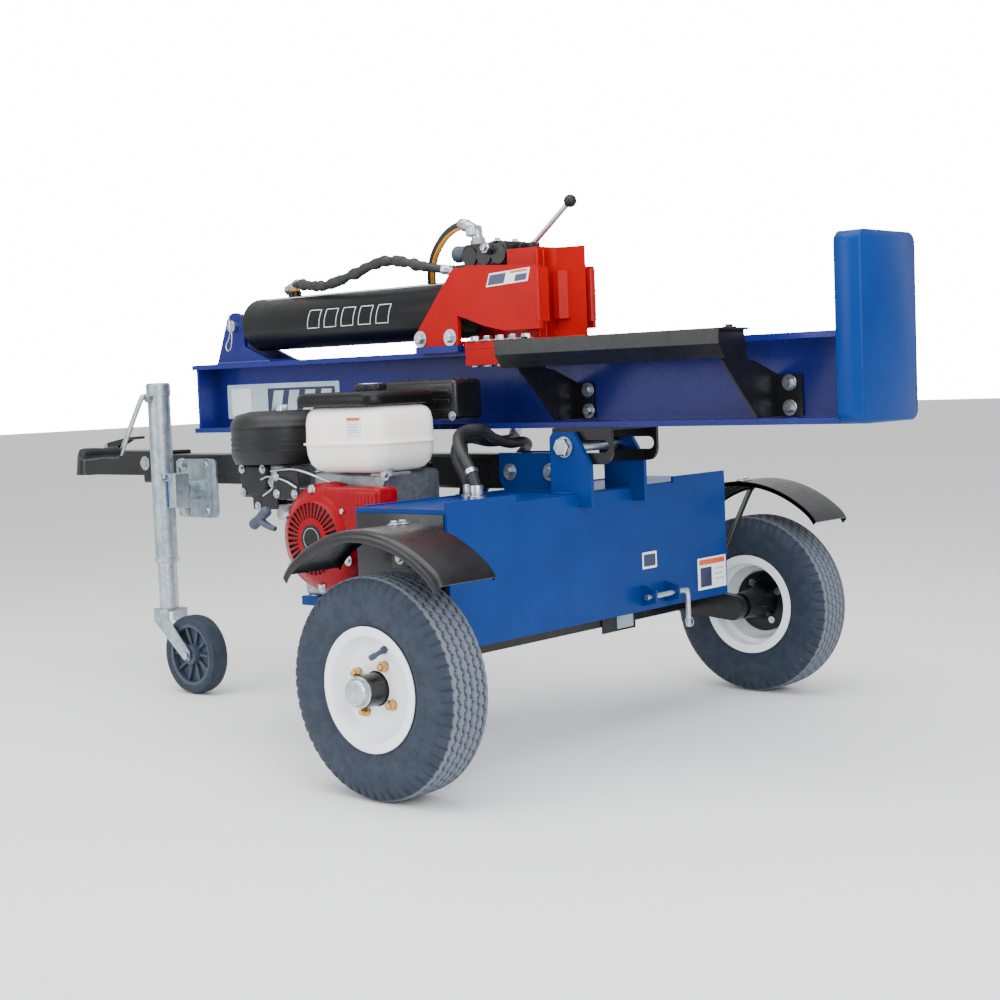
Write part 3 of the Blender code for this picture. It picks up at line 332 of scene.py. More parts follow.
def roundBox(low, high, radius, steps=6):
    """Centre + sign(n) (half - r) + r n for every direction n."""
    low, high = np.array(low, float), np.array(high, float)
    half, centre = (high - low) / 2, (high + low) / 2
    r = min(radius, half.min() - 1e-5)
    quarter = np.linspace(0, np.pi / 2, steps + 1)
    theta = np.concatenate([quarter + q * np.pi / 2 for q in range(4)])
    signX = np.repeat([1, -1, -1, 1], steps + 1)
    signY = np.repeat([1, 1, -1, -1], steps + 1)
    phi = np.concatenate([quarter - np.pi / 2, quarter])
    signZ = np.repeat([-1, 1], steps + 1)
    across, up = np.cos(phi)[:, None], np.sin(phi)[:, None]
    n = np.stack(np.broadcast_arrays(across * np.cos(theta), across * np.sin(theta), up + 0 * theta), -1)
    sign = np.stack(np.broadcast_arrays(signX[None, :], signY[None, :], signZ[:, None]), -1)
    points, faces = gridShape(sign * (half - r) + r * n + centre)
    count = len(theta)
    top = [len(points) - count + i for i in range(count)]
    return points, [*faces, top, list(range(count))[::-1]]


def prism(outline, thickness, normal, middle, roundEdge=0.0):
    """An outline given as (y, z), (x, z) or (x, y) for normal X, Y or Z, extruded about its middle plane."""
    o = np.array(outline, float)
    k = "XYZ".index(normal)
    others = [i for i in range(3) if i != k]
    layers = [
        (-thickness / 2, roundEdge), (-thickness / 2 + roundEdge, 0), (thickness / 2 - roundEdge, 0),
        (thickness / 2, roundEdge)
    ]
    if not roundEdge:
        layers = [(-thickness / 2, 0), (thickness / 2, 0)]
    before, after = np.roll(o, 1, 0), np.roll(o, -1, 0)
    side = (after - before)[:, ::-1] * (1, -1)
    side /= np.linalg.norm(side, axis=1)[:, None] + 1e-12
    area = np.sum(o[:, 0] * after[:, 1] - after[:, 0] * o[:, 1])
    rings = np.zeros((len(layers), len(o), 3))
    for ring, (offset, inset) in zip(rings, layers):
        ring[:, others] = o - np.sign(area) * side * inset
        ring[:, k] = middle + offset
    rings[..., 0] += axleX
    points, faces = gridShape(rings)
    count = len(o)
    return points, [*faces, list(range(count))[::-1], [len(points) - count + i for i in range(count)]]


def loft(x0, y0, x1, y1, rows, steps=10):
    """Stacked round-cornered rings; each row is (height, inset from the plan outline, corner radius)."""
    rings = [
        [at(px, py, z) for px, py in roundRect(x0 + i, y0 + i, x1 - i, y1 - i, r, steps)]
        for z, i, r in rows
    ]
    middle = [(x0 + x1) / 2, (y0 + y1) / 2]
    ends = [[at(*middle, rows[k][0])] * len(rings[0]) for k in (0, -1)]
    return gridShape(np.array([ends[0], *rings, ends[1]]))


def arc(cx, cy, r, start, end, steps):
    a = np.radians(np.linspace(start, end, steps + 1))
    return np.stack([cx + r * np.cos(a), cy + r * np.sin(a)], -1).tolist()


def roundRect(x0, y0, x1, y1, r, steps=8):
    ring = arc(x1 - r, y1 - r, r, 0, 90, steps) + arc(x0 + r, y1 - r, r, 90, 180, steps)
    return ring + arc(x0 + r, y0 + r, r, 180, 270, steps) + arc(x1 - r, y0 + r, r, 270, 360, steps)


def piece(name, shapes, look, body, replaced=(), sharp=32, attribute=None):
    """Joins shapes into one object with its faces out, smooth except at edges over sharp degrees."""
    points, faces, offset = [], [], 0
    for p, f in shapes:
        points.append(p)
        faces += [[i + offset for i in face] for face in f]
        offset += len(p)
    mesh = bpy.data.meshes.new(name)
    mesh.from_pydata(np.vstack(points).tolist(), [], faces)
    if attribute is not None:
        mesh.attributes.new("tread", "FLOAT", "POINT").data.foreach_set("value", attribute.astype(np.float32))
    work = bmesh.new()
    work.from_mesh(mesh)
    bmesh.ops.remove_doubles(work, verts=work.verts, dist=0.000002)
    bmesh.ops.recalc_face_normals(work, faces=work.faces)
    work.to_mesh(mesh)
    work.free()
    mesh.shade_smooth()
    mesh.set_sharp_from_angle(angle=math.radians(sharp))
    mesh.materials.append(finish[look])
    obj = bpy.data.objects.new(name, mesh)
    bpy.context.scene.collection.objects.link(obj)
    if body:
        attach(obj, body)
    if replaced:
        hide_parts(*replaced)
    return obj


def hexHead(centre, axis, flats, height, washer=True):
    """A hexagon head with chamfered corners on a round washer."""
    r, thick = flats / math.sqrt(3), 0.0018 if washer else 0.0
    head = [
        (0, thick), (r, thick), (r, thick + height * 0.82), (r * 0.86, thick + height), (0, thick + height)
    ]
    shapes = [lathe(head, centre, axis, 6, rng.uniform(0, 1))]
    if washer:
        w = flats * 0.98
        shapes.append(
            lathe(
                [(0, 0), (w * 0.98, 0), (w, 0.0004), (w, thick), (w * 0.97, thick + 0.0004), (0, thick)],
                centre, axis, 28
            )
        )
    return shapes


def bolts(name, places, axis, flats, height, body, washer=True, look="zincPlate", stud=0.0):
    shapes = []
    for p in places:
        shapes += hexHead(np.asarray(p), axis, flats, height, washer)
        if stud:
            shapes.append(
                lathe(
                    [
                        (0, stud), (flats * 0.26, stud), (flats * 0.30, stud - 0.001), (flats * 0.30, 0),
                        (0, 0)
                    ], p, axis, 16
                )
            )
    return piece(name, shapes, look, body, sharp=28)


def weld(name, route, radius, body, look="weldBead", pitch=0.004):
    """A bead along a straight or bent route, rippled once per pitch."""
    route = np.array(route, float)
    steps = np.linalg.norm(np.diff(route, axis=0), axis=1)
    count = max(8, int(steps.sum() / (pitch / 4)))
    s = np.linspace(0, steps.sum(), count)
    along = np.concatenate([[0], np.cumsum(steps)])
    path = np.stack([np.interp(s, along, route[:, i]) for i in range(3)], -1)
    r = radius * (1 + 0.16 * np.abs(np.sin(np.pi * s / pitch)) + 0.05 * rng.standard_normal(count))
    return piece(name, [sweep(path, r, 8)], look, body, sharp=60)


def hollow(profile):
    """A profile closed back to its own first point, for a tube with two open ends."""
    return [*profile, profile[0]]


# ---- wheels

wheel = dict(
    radius=0.2095, track=0.628, studCircle=0.0508, rimRadius=0.1175, waves=58, grooveDepth=0.0055,
    grooveWidth=0.0030, zigzag=0.0026
)


def makeTyre(side, sign):
    """Section (r, y) smoothed through the bead, side wall, shoulder and crown; the crown is cut by
    zigzag grooves y = yk + A tri(waves a), and the shoulders by short cross bars."""
    w = wheel
    R = w["radius"]
    route = [
        (w["rimRadius"] - 0.013, 0.0462), (w["rimRadius"] + 0.002, 0.0500), (0.132, 0.0555), (0.152, 0.0588),
        (0.172, 0.0590)
    ]
    route += [
        (0.188, 0.0565), (0.1985, 0.0515), (0.2055, 0.0450), (0.2080, 0.0380), (0.2090, 0.0200), (R, 0.0)
    ]
    half = smoothPath([(r, y, 0) for r, y in route], 56)[:, :2]
    section = np.vstack([half, (half * (1, -1))[-2::-1]])
    bead = [(0.1045, -0.0455, 0), (0.112, -0.030, 0), (0.112, 0.030, 0), (0.1045, 0.0455, 0)]
    inner = smoothPath(bead, 8)[:, :2]
    count = 640
    a = np.linspace(0, 2 * np.pi, count, endpoint=False)
    r = np.repeat(section[:, :1], count, 1)
    y = np.repeat(section[:, 1:], count, 1)
    wave = 2 * np.abs(((a * w["waves"] / (2 * np.pi)) % 1) * 2 - 1) - 1
    groove = np.zeros_like(r)
    for k, centre in enumerate((-0.0330, -0.0165, 0.0, 0.0165, 0.0330)):
        distance = np.abs(y - centre - w["zigzag"] * wave * (1 if k % 2 else -1))
        groove = np.maximum(groove, np.clip((w["grooveWidth"] - distance) / (w["grooveWidth"] * 0.45), 0, 1))
    bars = np.clip(np.abs(((a * w["waves"] / (2 * np.pi) + 0.25) % 1) - 0.5) * 8 - 2.5, 0, 1)[None, :]
    shoulder = np.clip((np.abs(y) - 0.0425) / 0.002, 0, 1) * np.clip((r - 0.1830) / 0.006, 0, 1)
    r = r - w["grooveDepth"] * groove * (np.abs(y) < 0.0425) - 0.0030 * bars * shoulder
    y = y - np.sign(y) * 0.0016 * bars * shoulder
    rings = sum(
        np.exp(-(((section[:, 0] - r0) / wide) ** 2))
        for r0, wide in ((0.1315, 0.0012), (0.1800, 0.0010))
    )
    y = y + np.sign(y) * 0.0009 * (rings * (np.abs(section[:, 1]) > 0.04))[:, None]
    tread = np.clip((r - 0.2040) / 0.002, 0, 1) * (1 - groove) * 0.75
    r, y = [np.vstack([grid, np.repeat(inner[:, k : k + 1], count, 1)]) for k, grid in enumerate((r, y))]
    tread = np.vstack([tread, np.zeros((len(inner), count))])
    points = np.stack([r * np.cos(a), sign * wheel["track"] + y, r * np.sin(a)], -1) + at(0, 0, R)
    piece(
        f"tyreTread_{side}", [gridShape(points, closeRows=True)], "vulcanisedRubber", f"wheel_{side}",
        (f"tyre_{side}",), 40, tread.reshape(-1)
    )


def makeRim(side, sign):
    body, centre, out = f"wheel_{side}", at(0, sign * wheel["track"], wheel["radius"]), (0, sign, 0)
    dish = [
        (0.0975, 0.046), (0.0955, 0.030), (0.0900, 0.0265), (0.0840, 0.0275), (0.0740, 0.0310),
        (0.060, 0.0318), (0.033, 0.0318)
    ]
    face = smoothPath(dish, 40)
    profile = [
        (0.1172, 0.0512), (0.1170, 0.0532), (0.1150, 0.0537), (0.1010, 0.0535), (0.0985, 0.0522),
        *face.tolist(), (0.033, 0.0272)
    ]
    profile += [
        (0.070, 0.0272), (0.083, 0.0235), (0.0885, 0.0140), (0.0885, -0.0140), (0.0975, -0.0220),
        (0.0975, -0.0515)
    ]
    profile += [
        (0.1165, -0.0535), (0.1172, -0.0508), (0.1010, -0.0486), (0.1010, -0.0205), (0.0915, -0.0120),
        (0.0915, 0.0120), (0.1010, 0.0205), (0.1010, 0.0486)
    ]
    piece(
        f"rimPressing_{side}", [lathe(hollow(profile), centre, out, 128)], "rimEnamel", body,
        (f"rim_{side}",), 40
    )
    u, v, w = basis(out)
    nuts, pads = [], []
    for k in range(4):
        a = math.radians(59 + 90 * k)
        p = centre + wheel["studCircle"] * (math.cos(a) * u + math.sin(a) * v)
        pads.append(
            lathe([(0.0135, 0.0316), (0.0130, 0.0332), (0.0105, 0.0336), (0.0095, 0.0326)], p, out, 32)
        )
        nuts.append(
            lathe(
                [(0.0080, 0.0300), (0.0105, 0.0345), (0.0105, 0.0420), (0.0085, 0.0455), (0.0, 0.0460)], p,
                out, 6
            )
        )
        nuts.append(lathe([(0.0060, 0.0440), (0.0060, 0.0500), (0.0048, 0.0515), (0.0, 0.0515)], p, out, 20))
    piece(f"nutSeats_{side}", pads, "rimEnamel", body)
    piece(f"wheelNuts_{side}", nuts, "yellowZinc", body, sharp=28)
    a = math.radians(252 if sign < 0 else 288)
    stem = centre + 0.078 * (math.cos(a) * u + math.sin(a) * v)
    valve = [
        (0.0, 0.027), (0.0075, 0.028), (0.0070, 0.034), (0.0048, 0.038), (0.0045, 0.052), (0.0058, 0.053),
        (0.0058, 0.064), (0.0045, 0.066), (0.0, 0.066)
    ]
    lean = w - 0.35 * (math.cos(a) * u + math.sin(a) * v)
    piece(
        f"valveStem_{side}", [lathe([(r, h - 0.027) for r, h in valve], stem + 0.028 * w, lean, 24)],
        "blueGreyPlastic", body
    )


def makeHub(side, sign):
    body, centre, out = f"wheel_{side}", at(0, sign * wheel["track"], wheel["radius"]), (0, sign, 0)
    barrel = [
        (0.0132, 0.060), (0.024, 0.0725), (0.0293, 0.0725), (0.0303, 0.0712), (0.0303, 0.0270),
        (0.0700, 0.0268), (0.0722, 0.0250)
    ]
    barrel += [
        (0.0722, 0.0150), (0.0700, 0.0130), (0.0420, 0.0115), (0.0340, -0.0300), (0.0300, -0.0850),
        (0.0132, -0.0850)
    ]
    piece(
        f"hubBarrel_{side}", [lathe(hollow(barrel), centre, out, 72)], "blackPowderCoat", body,
        (f"hub_{side}",), 35
    )
    cap = [
        (0.0255, 0.066), (0.0275, 0.0728), (0.0287, 0.0735), (0.0287, 0.0765), (0.0272, 0.0775),
        (0.0268, 0.0850), (0.0235, 0.0895), (0.0130, 0.0917), (0.0, 0.0919)
    ]
    piece(f"hubCap_{side}", [lathe(cap, centre, out, 72)], "zincPlate", body, sharp=40)
    u, v, _ = basis(out)
    studs = []
    for k in range(4):
        a = math.radians(59 + 90 * k)
        p = centre + wheel["studCircle"] * (math.cos(a) * u + math.sin(a) * v)
        studs.append(
            lathe(
                [(0.0, 0.0070), (0.0085, 0.0078), (0.0095, 0.0100), (0.0095, 0.0138), (0.0, 0.0138)], p, out,
                24
            )
        )
    piece(f"studHeads_{side}", studs, "zincPlate", body)


for sideName, sideSign in (("near", -1), ("far", 1)):
    makeTyre(sideName, sideSign)
    makeRim(sideName, sideSign)
    makeHub(sideName, sideSign)
print("wheels made")


# ---- fenders: a section of (distance across, height above the arc) carried round an arc about the axle

fender = dict(radius=0.2945, start=44.5, end=135.5, inner=0.551, outer=0.698, lip=0.0150, sheet=0.0026)


def makeFender(side, sign):
    """Arc about the axle times a section: flat crown, then a quarter turn of radius lip to a rolled edge."""
    f = fender
    a = np.radians(np.linspace(f["start"], f["end"], 72))
    turn = np.radians(np.linspace(90, -20, 14))
    across = np.concatenate(
        [[f["inner"], f["inner"], 0.60, 0.64], f["outer"] - f["lip"] + f["lip"] * np.cos(turn)]
    )
    drop = np.concatenate([[-0.008, 0, 0, 0], -f["lip"] + f["lip"] * np.sin(turn)])
    ends = np.clip(np.minimum(np.arange(72), np.arange(72)[::-1]) / 5, 0, 1)[:, None]
    outerR = f["radius"] + drop[None, :] - 0.004 * (1 - ends) ** 2
    shell = []
    for r in (outerR, outerR - f["sheet"]):
        shell.append(
            np.stack(
                [
                    axleX + r * np.cos(a)[:, None], np.broadcast_to(sign * across, r.shape),
                    wheel["radius"] + r * np.sin(a)[:, None]
                ], -1
            )
        )
    section = np.concatenate([shell[0], shell[1][:, ::-1]], 1)
    points, faces = gridShape(section)
    n, m = len(across), section.shape[1]
    last = (len(a) - 1) * m
    caps = [[i, i + 1, m - 2 - i, m - 1 - i] for i in range(n - 1)] + [
        [last + i, last + m - 1 - i, last + m - 2 - i, last + i + 1]
        for i in range(n - 1)
    ]
    low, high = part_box(f"fender_{side}")
    wall = high[1] if sign < 0 else low[1]
    strap = [
        roundBox(
            (axleX - 0.110, min(wall, sign * 0.575), 0.4840),
            (axleX - 0.060, max(wall, sign * 0.575), 0.4895), 0.0015, 3
        )
    ]
    strap += [
        roundBox(
            (axleX - 0.108, min(wall, wall + sign * 0.0056), 0.410),
            (axleX - 0.062, max(wall, wall + sign * 0.0056), 0.4890), 0.0015, 3
        )
    ]
    arm = [
        at(0.020, wall + sign * 0.004, 0.330), at(0.020, wall + sign * 0.020, 0.350),
        at(0.026, sign * 0.548, 0.470), at(0.028, sign * 0.575, 0.492), at(0.028, sign * 0.600, 0.494)
    ]
    strap += [sweep(smoothPath(arm, 30), 0.0065, 12)]
    piece(
        f"mudguard_{side}", [(points, faces + caps), *strap], "blackPowderCoat", "chassis",
        (f"fender_{side}",), 40
    )
    outwards = (0, sign, 0)
    bolts(
        f"mudguardBolts_{side}", [at(-0.085, wall + sign * 0.006, z) for z in (0.430, 0.462)], outwards,
        0.013, 0.006, "chassis"
    )
    bolts(
        f"mudguardTop_{side}",
        [at(-0.004, sign * y, wheel["radius"] + f["radius"] + 0.0002) for y in (0.570, 0.592)], (0, 0, 1),
        0.013, 0.006, "chassis"
    )


makeFender("near", -1)
makeFender("far", 1)
print("fenders made")

# ---- beam, foot plate and their welds

beam = dict(bottom=0.660, top=0.831, flange=0.0116, web=0.004, tail=-1.224, nose=0.6464)


def makeBeamTrim():
    b, body = beam, "beam_assembly"
    half = 0.103
    outline = roundRect(-half, b["bottom"], half, 1.008, 0.021, 12)
    piece(
        "footBlock", [prism(outline, 0.0556, "X", b["nose"] + 0.0278, 0.0028)], "blueEnamel", body,
        ("foot_plate",), 50
    )
    inner = [b["bottom"] + b["flange"] + 0.001, b["top"] - b["flange"] - 0.001]
    for k, side in enumerate((-1, 1)):
        x = b["tail"] + 0.0095
        weld(
            f"tailWeld_{k}", [at(x, side * 0.0052, inner[0] + 0.004), at(x, side * 0.0052, inner[1] - 0.004)],
            0.0036, body
        )
        x = b["nose"] - 0.002
        weld(
            f"noseWebWeld_{k}", [at(x, side * 0.0055, inner[0]), at(x, side * 0.0055, inner[1])], 0.0030, body
        )
        weld(
            f"clevisWeld_{k}",
            [at(-1.156, side * 0.0475, b["top"] + 0.002), at(-0.956, side * 0.0475, b["top"] + 0.002)],
            0.0028, body
        )
        weld(
            f"tabWeld_{k}",
            [at(-0.407, side * 0.079, b["top"] + 0.002), at(-0.285, side * 0.079, b["top"] + 0.002)], 0.0022,
            body
        )
        weld(
            f"bracketWeld_{k}",
            [at(-0.036, side * 0.0735, b["bottom"] - 0.002), at(0.112, side * 0.0735, b["bottom"] - 0.002)],
            0.0026, body, "blackPowderCoat"
        )
    weld(
        "noseTopWeld",
        [at(b["nose"] - 0.001, -0.074, b["top"] + 0.0005), at(b["nose"] - 0.001, 0.074, b["top"] + 0.0005)],
        0.0035, body
    )
    # a blank decal on the web: a pale panel, a dark band and a white plate
    y = -b["web"] - 0.0006
    panels = [
        ("beamPanel", -1.176, -0.760, 0.692, 0.778, "paleLabel", 0.0),
        ("beamBand", -1.020, -0.775, 0.704, 0.766, "darkLabel", 0.0003)
    ]
    panels += [("beamTile", -1.160, -1.085, 0.700, 0.768, "whiteLabel", 0.0003)]
    for name, x0, x1, z0, z1, look, lift in panels:
        piece(name, [prism(roundRect(x0, z0, x1, z1, 0.004), 0.0004, "Y", y - lift)], look, body)
        piece(name + "Far", [prism(roundRect(x0, z0, x1, z1, 0.004), 0.0004, "Y", -y + lift)], look, body)
    wide, lean = 0.036, 0.0125
    slats = []
    for k in range(4):
        x = -1.008 + 0.058 * k
        outline = [(x, 0.710), (x + wide, 0.710), (x + wide + lean, 0.760), (x + lean, 0.760)]
        slats.append(prism(outline, 0.0003, "Y", y - 0.0008))
    piece("beamSlats", slats, "paleLabel", body)


makeBeamTrim()

# ---- hydraulic cylinder, rod and pins

cylinder = dict(z=0.9235, radius=0.064, bore=0.056, tail=-1.045, head=-0.335, port=-0.907, rod=0.025)


def hexFitting(centre, axis, flats, length, look, body, name):
    """A hexagonal fitting with both ends chamfered."""
    r = flats / math.sqrt(3)
    profile = [(0.0, 0), (r * 0.9, 0), (r, 0.0012), (r, length - 0.0012), (r * 0.9, length), (0.0, length)]
    return piece(name, [lathe(profile, centre, axis, 6)], look, body, sharp=28)


def makeCylinder():
    c, body = cylinder, "beam_assembly"
    r, head = c["radius"], c["head"]
    outer = [
        (c["rod"] + 0.0010, head), (r - 0.012, head), (r - 0.010, head - 0.002), (r - 0.0022, head - 0.003),
        (r, head - 0.0052), (r, head - 0.0330)
    ]
    outer += [
        (r - 0.0012, head - 0.0345), (r - 0.0012, head - 0.0365), (r, head - 0.0380), (r, c["tail"] + 0.012),
        (r - 0.002, c["tail"] + 0.007)
    ]
    outer += [(r - 0.007, c["tail"] + 0.001), (r - 0.010, c["tail"])]
    inside = [
        (0.0, c["tail"]), (0.0, c["tail"] + 0.012), (c["bore"], c["tail"] + 0.012), (c["bore"], head - 0.040),
        (c["rod"] + 0.0010, head - 0.040)
    ]
    barrel = lathe(hollow([*outer, *inside]), at(0, 0, c["z"]), (1, 0, 0), 112)
    eyeRing = arc(-1.085, c["z"], 0.030, 90, 270, 20) + [
        (c["tail"] + 0.003, c["z"] - 0.030), (c["tail"] + 0.003, c["z"] + 0.030)
    ]
    ports = [
        lathe(
            [(0.0, 0.0), (0.0175, 0.0), (0.0160, 0.010), (0.0160, 0.0165), (0.0150, 0.0175), (0.0, 0.0175)],
            at(x, 0, c["z"] + r - 0.006), (0, 0, 1), 32
        )
        for x in (c["port"], head - 0.020)
    ]
    piece(
        "cylinderTube", [barrel, prism(eyeRing, 0.060, "Y", 0.0, 0.0015), *ports], "cylinderBlack", body,
        ("cylinder_barrel",), 35
    )
    # slanted outline bars in place of lettering, wrapped on the barrel
    bars = []
    for k in range(5):
        x0, wide = -0.800 + k * 0.058, 0.040
        corners = [
            (x0, -0.30), (x0 + wide, -0.30), (x0 + wide + 0.012, 0.36), (x0 + 0.012, 0.36), (x0, -0.30)
        ]
        path = []
        for (xa, ta), (xb, tb) in zip(corners[:-1], corners[1:]):
            for s in np.linspace(0, 1, 12, endpoint=False):
                angle = ta + (tb - ta) * s
                path.append(
                    at(
                        xa + (xb - xa) * s, -(r + 0.0002) * math.cos(angle),
                        c["z"] + (r + 0.0002) * math.sin(angle)
                    )
                )
        bars.append(sweep(np.array(path + path[:1]), 0.0009, 6))
    piece("barrelBars", bars, "whiteLabel", body)
    # a thin decal strip laid along the barrel's upper side, in three colours
    strips = [
        (-0.985, -0.350, 66, 69, "whiteLabel"), (-0.975, -0.690, 69.4, 73, "paleLabel"),
        (-0.660, -0.520, 69.4, 73, "coverEnamel"), (-0.505, -0.360, 69.4, 73, "darkLabel")
    ]
    for k, (x0, x1, low, high, look) in enumerate(strips):
        t = np.radians(np.linspace(low, high, 5))
        grid = [
            [at(x, -(r + lift) * math.cos(q), c["z"] + (r + lift) * math.sin(q)) for q in t]
            for x, lift in ((x0, 0.0), (x0, 0.0004), (x1, 0.0004), (x1, 0.0))
        ]
        piece(f"barrelStrip_{k}", [gridShape(np.array(grid), True, False)], look, body)
    rod = [
        (0.0, -0.1855), (c["rod"] - 0.002, -0.1855), (c["rod"], -0.1875), (c["rod"], -0.990),
        (c["bore"] - 0.001, -0.990), (c["bore"] - 0.001, -1.030), (0.0, -1.030)
    ]
    piece(
        "chromedRod", [lathe(rod, at(0, 0, c["z"]), (1, 0, 0), 80)], "hardChrome", "wedge_assembly",
        ("piston_rod",), 35
    )
    wiper = [
        (c["rod"] + 0.0010, -0.001), (c["rod"] + 0.010, -0.001), (c["rod"] + 0.010, 0.003),
        (c["rod"] + 0.004, 0.005), (c["rod"] + 0.0010, 0.005)
    ]
    piece("rodWiper", [lathe(hollow(wiper), at(head, 0, c["z"]), (1, 0, 0), 56)], "hoseRubber", body)
    pin = [
        (0.0, -0.0605), (0.0140, -0.0605), (0.0150, -0.0595), (0.0150, -0.0565), (0.0124, -0.0555),
        (0.0124, 0.0545), (0.0110, 0.0560), (0.0, 0.0560)
    ]
    piece(
        "tailPin", [lathe(pin, at(-1.085, 0, c["z"]), (0, 1, 0), 40)], "zincPlate", body, ("cylinder_pin",),
        35
    )
    clip = [
        (-1.085, 0.030), (-1.086, 0.012), (-1.084, -0.012), (-1.090, -0.030), (-1.102, -0.046),
        (-1.098, -0.060), (-1.086, -0.056), (-1.080, -0.040), (-1.078, -0.015)
    ]
    piece(
        "hairpin", [sweep(smoothPath([at(x, -0.0625, c["z"] + z) for x, z in clip], 60), 0.0016, 10)],
        "zincPlate", body
    )
    small = [
        (0.0, -0.054), (0.0105, -0.054), (0.0113, -0.0530), (0.0113, -0.0505), (0.0085, -0.0500),
        (0.0085, 0.0490), (0.0075, 0.0500), (0.0, 0.0500)
    ]
    piece(
        "wedgePin", [lathe(small, at(-0.215, 0, c["z"]), (0, 1, 0), 32)], "zincPlate", "wedge_assembly",
        ("rod_pin",), 35
    )


makeCylinder()
print("beam and cylinder made")

# ---- wedge and strippers: bolts, welds and blank labels on the carried-over plates


def makeWedgeTrim():
    body = "wedge_assembly"
    rows = [(x, side) for side in (-1, 1) for x in (-0.236, -0.200, -0.164, -0.128, -0.092)]
    bolts("slideBolts", [at(x, side * 0.091, 0.8489) for x, side in rows], (0, 0, 1), 0.019, 0.009, body)
    # the near nuts are thin: they pass over the table bracket at full stroke
    thin, full = [row for row in rows if row[1] < 0], [row for row in rows if row[1] > 0]
    bolts(
        "slideNutsNear", [at(x, side * 0.091, 0.7969) for x, side in thin], (0, 0, -1), 0.019, 0.0035, body,
        False
    )
    bolts(
        "slideNutsFar", [at(x, side * 0.091, 0.7969) for x, side in full], (0, 0, -1), 0.019, 0.009, body,
        stud=0.012
    )
    low, high = 0.852, 1.036
    for k, side in enumerate((-1, 1)):
        weld(
            f"boxWeld_{k}", [at(-0.094, side * 0.0445, low), at(-0.094, side * 0.0445, high)], 0.0030, body,
            "redWeld"
        )
        weld(
            f"bladeWeld_{k}", [at(-0.0935, side * 0.024, low), at(-0.0935, side * 0.024, high)], 0.0032, body,
            "redWeld"
        )
        weld(
            f"baseWeld_{k}",
            [
                at(-0.176, side * 0.0455, 0.8495), at(-0.094, side * 0.0455, 0.8495),
                at(-0.094, side * 0.024, 0.8495), at(-0.060, side * 0.024, 0.8495),
                at(-0.004, side * 0.003, 0.8495)
            ], 0.0026, body, "redWeld"
        )
    weld(
        "socketWeld",
        [
            at(-0.1785, 0.0458 * math.cos(t), 0.9235 + 0.0458 * math.sin(t))
            for t in np.linspace(-2.4, 5.5 - 2.4, 40)
        ], 0.0026, body, "redWeld"
    )
    body = "beam_assembly"
    for side, sign in (("Near", -1), ("Far", 1)):
        out = (0, sign, 0)
        spots = [at(-0.396, sign * 0.0945, 0.860), at(-0.306, sign * 0.0945, 0.860)]
        bolts(f"stripperBolts{side}", spots, out, 0.019, 0.010, body, stud=0.0)
        weld(
            f"stripperWeld{side}", [at(-0.0530, sign * 0.0940, 0.884), at(-0.0530, sign * 0.0940, 0.994)],
            0.0028, body, "redWeld"
        )
        y = sign * 0.0948
        label = [(-0.196, 0.962), (-0.080, 0.968), (-0.072, 0.996), (-0.186, 0.990)]
        piece(f"labelEdge{side}", [prism(label, 0.0006, "Y", y)], "whiteLabel", body)
        piece(
            f"labelPanelA{side}",
            [
                prism(
                    [(-0.192, 0.965), (-0.146, 0.9675), (-0.138, 0.989), (-0.184, 0.9865)], 0.0006, "Y",
                    y + sign * 0.0002
                )
            ], "darkLabel", body
        )
        piece(
            f"labelPanelB{side}",
            [
                prism(
                    [(-0.116, 0.969), (-0.084, 0.971), (-0.080, 0.985), (-0.112, 0.983)], 0.0006, "Y",
                    y + sign * 0.0002
                )
            ], "darkLabel", body
        )
        piece(
            f"labelStripe{side}",
            [
                prism(
                    [(-0.128, 0.9865), (-0.080, 0.989), (-0.077, 0.994), (-0.126, 0.9915)], 0.0006, "Y",
                    y + sign * 0.0002
                )
            ], "amberLabel", body
        )


makeWedgeTrim()

# ---- control valve, lever and hoses

hoseRoutes = {
    "cylinder": [
        (-0.907, 0.000, 1.0125), (-0.885, -0.004, 1.016), (-0.830, -0.012, 1.008), (-0.760, -0.024, 1.006),
        (-0.660, -0.034, 1.024), (-0.570, -0.040, 1.044), (-0.500, -0.042, 1.041), (-0.440, -0.034, 1.026),
        (-0.3755, -0.014, 1.013)
    ],
    "pressure": [
        (-0.320, 0.005, 1.105), (-0.352, 0.008, 1.112), (-0.405, 0.012, 1.094), (-0.455, 0.024, 1.052),
        (-0.490, 0.048, 1.000), (-0.508, 0.082, 0.940), (-0.511, 0.102, 0.880), (-0.500, 0.110, 0.790),
        (-0.478, 0.108, 0.700), (-0.450, 0.090, 0.620), (-0.428, 0.066, 0.555), (-0.422, 0.052, 0.506)
    ],
    "back": [
        (-0.250, 0.0755, 1.036), (-0.250, 0.0880, 1.0355), (-0.252, 0.108, 1.020), (-0.262, 0.128, 0.960),
        (-0.280, 0.132, 0.870), (-0.300, 0.130, 0.770), (-0.308, 0.122, 0.690), (-0.296, 0.096, 0.642),
        (-0.270, 0.050, 0.632), (-0.250, 0.000, 0.631), (-0.238, -0.060, 0.632), (-0.234, -0.120, 0.642),
        (-0.230, -0.162, 0.636), (-0.200, -0.206, 0.606), (-0.162, -0.224, 0.570), (-0.146, -0.226, 0.540)
    ],
    "suction": [
        (-0.100, -0.256, 0.5400), (-0.116, -0.252, 0.578), (-0.168, -0.232, 0.634), (-0.196, -0.188, 0.658),
        (-0.188, -0.140, 0.662), (-0.194, -0.090, 0.640), (-0.202, -0.030, 0.627), (-0.214, 0.030, 0.627),
        (-0.240, 0.068, 0.612), (-0.300, 0.078, 0.572), (-0.348, 0.066, 0.538), (-0.366, 0.060, 0.518),
        (-0.366, 0.058, 0.5040), (-0.366, 0.058, 0.5000)
    ],
}


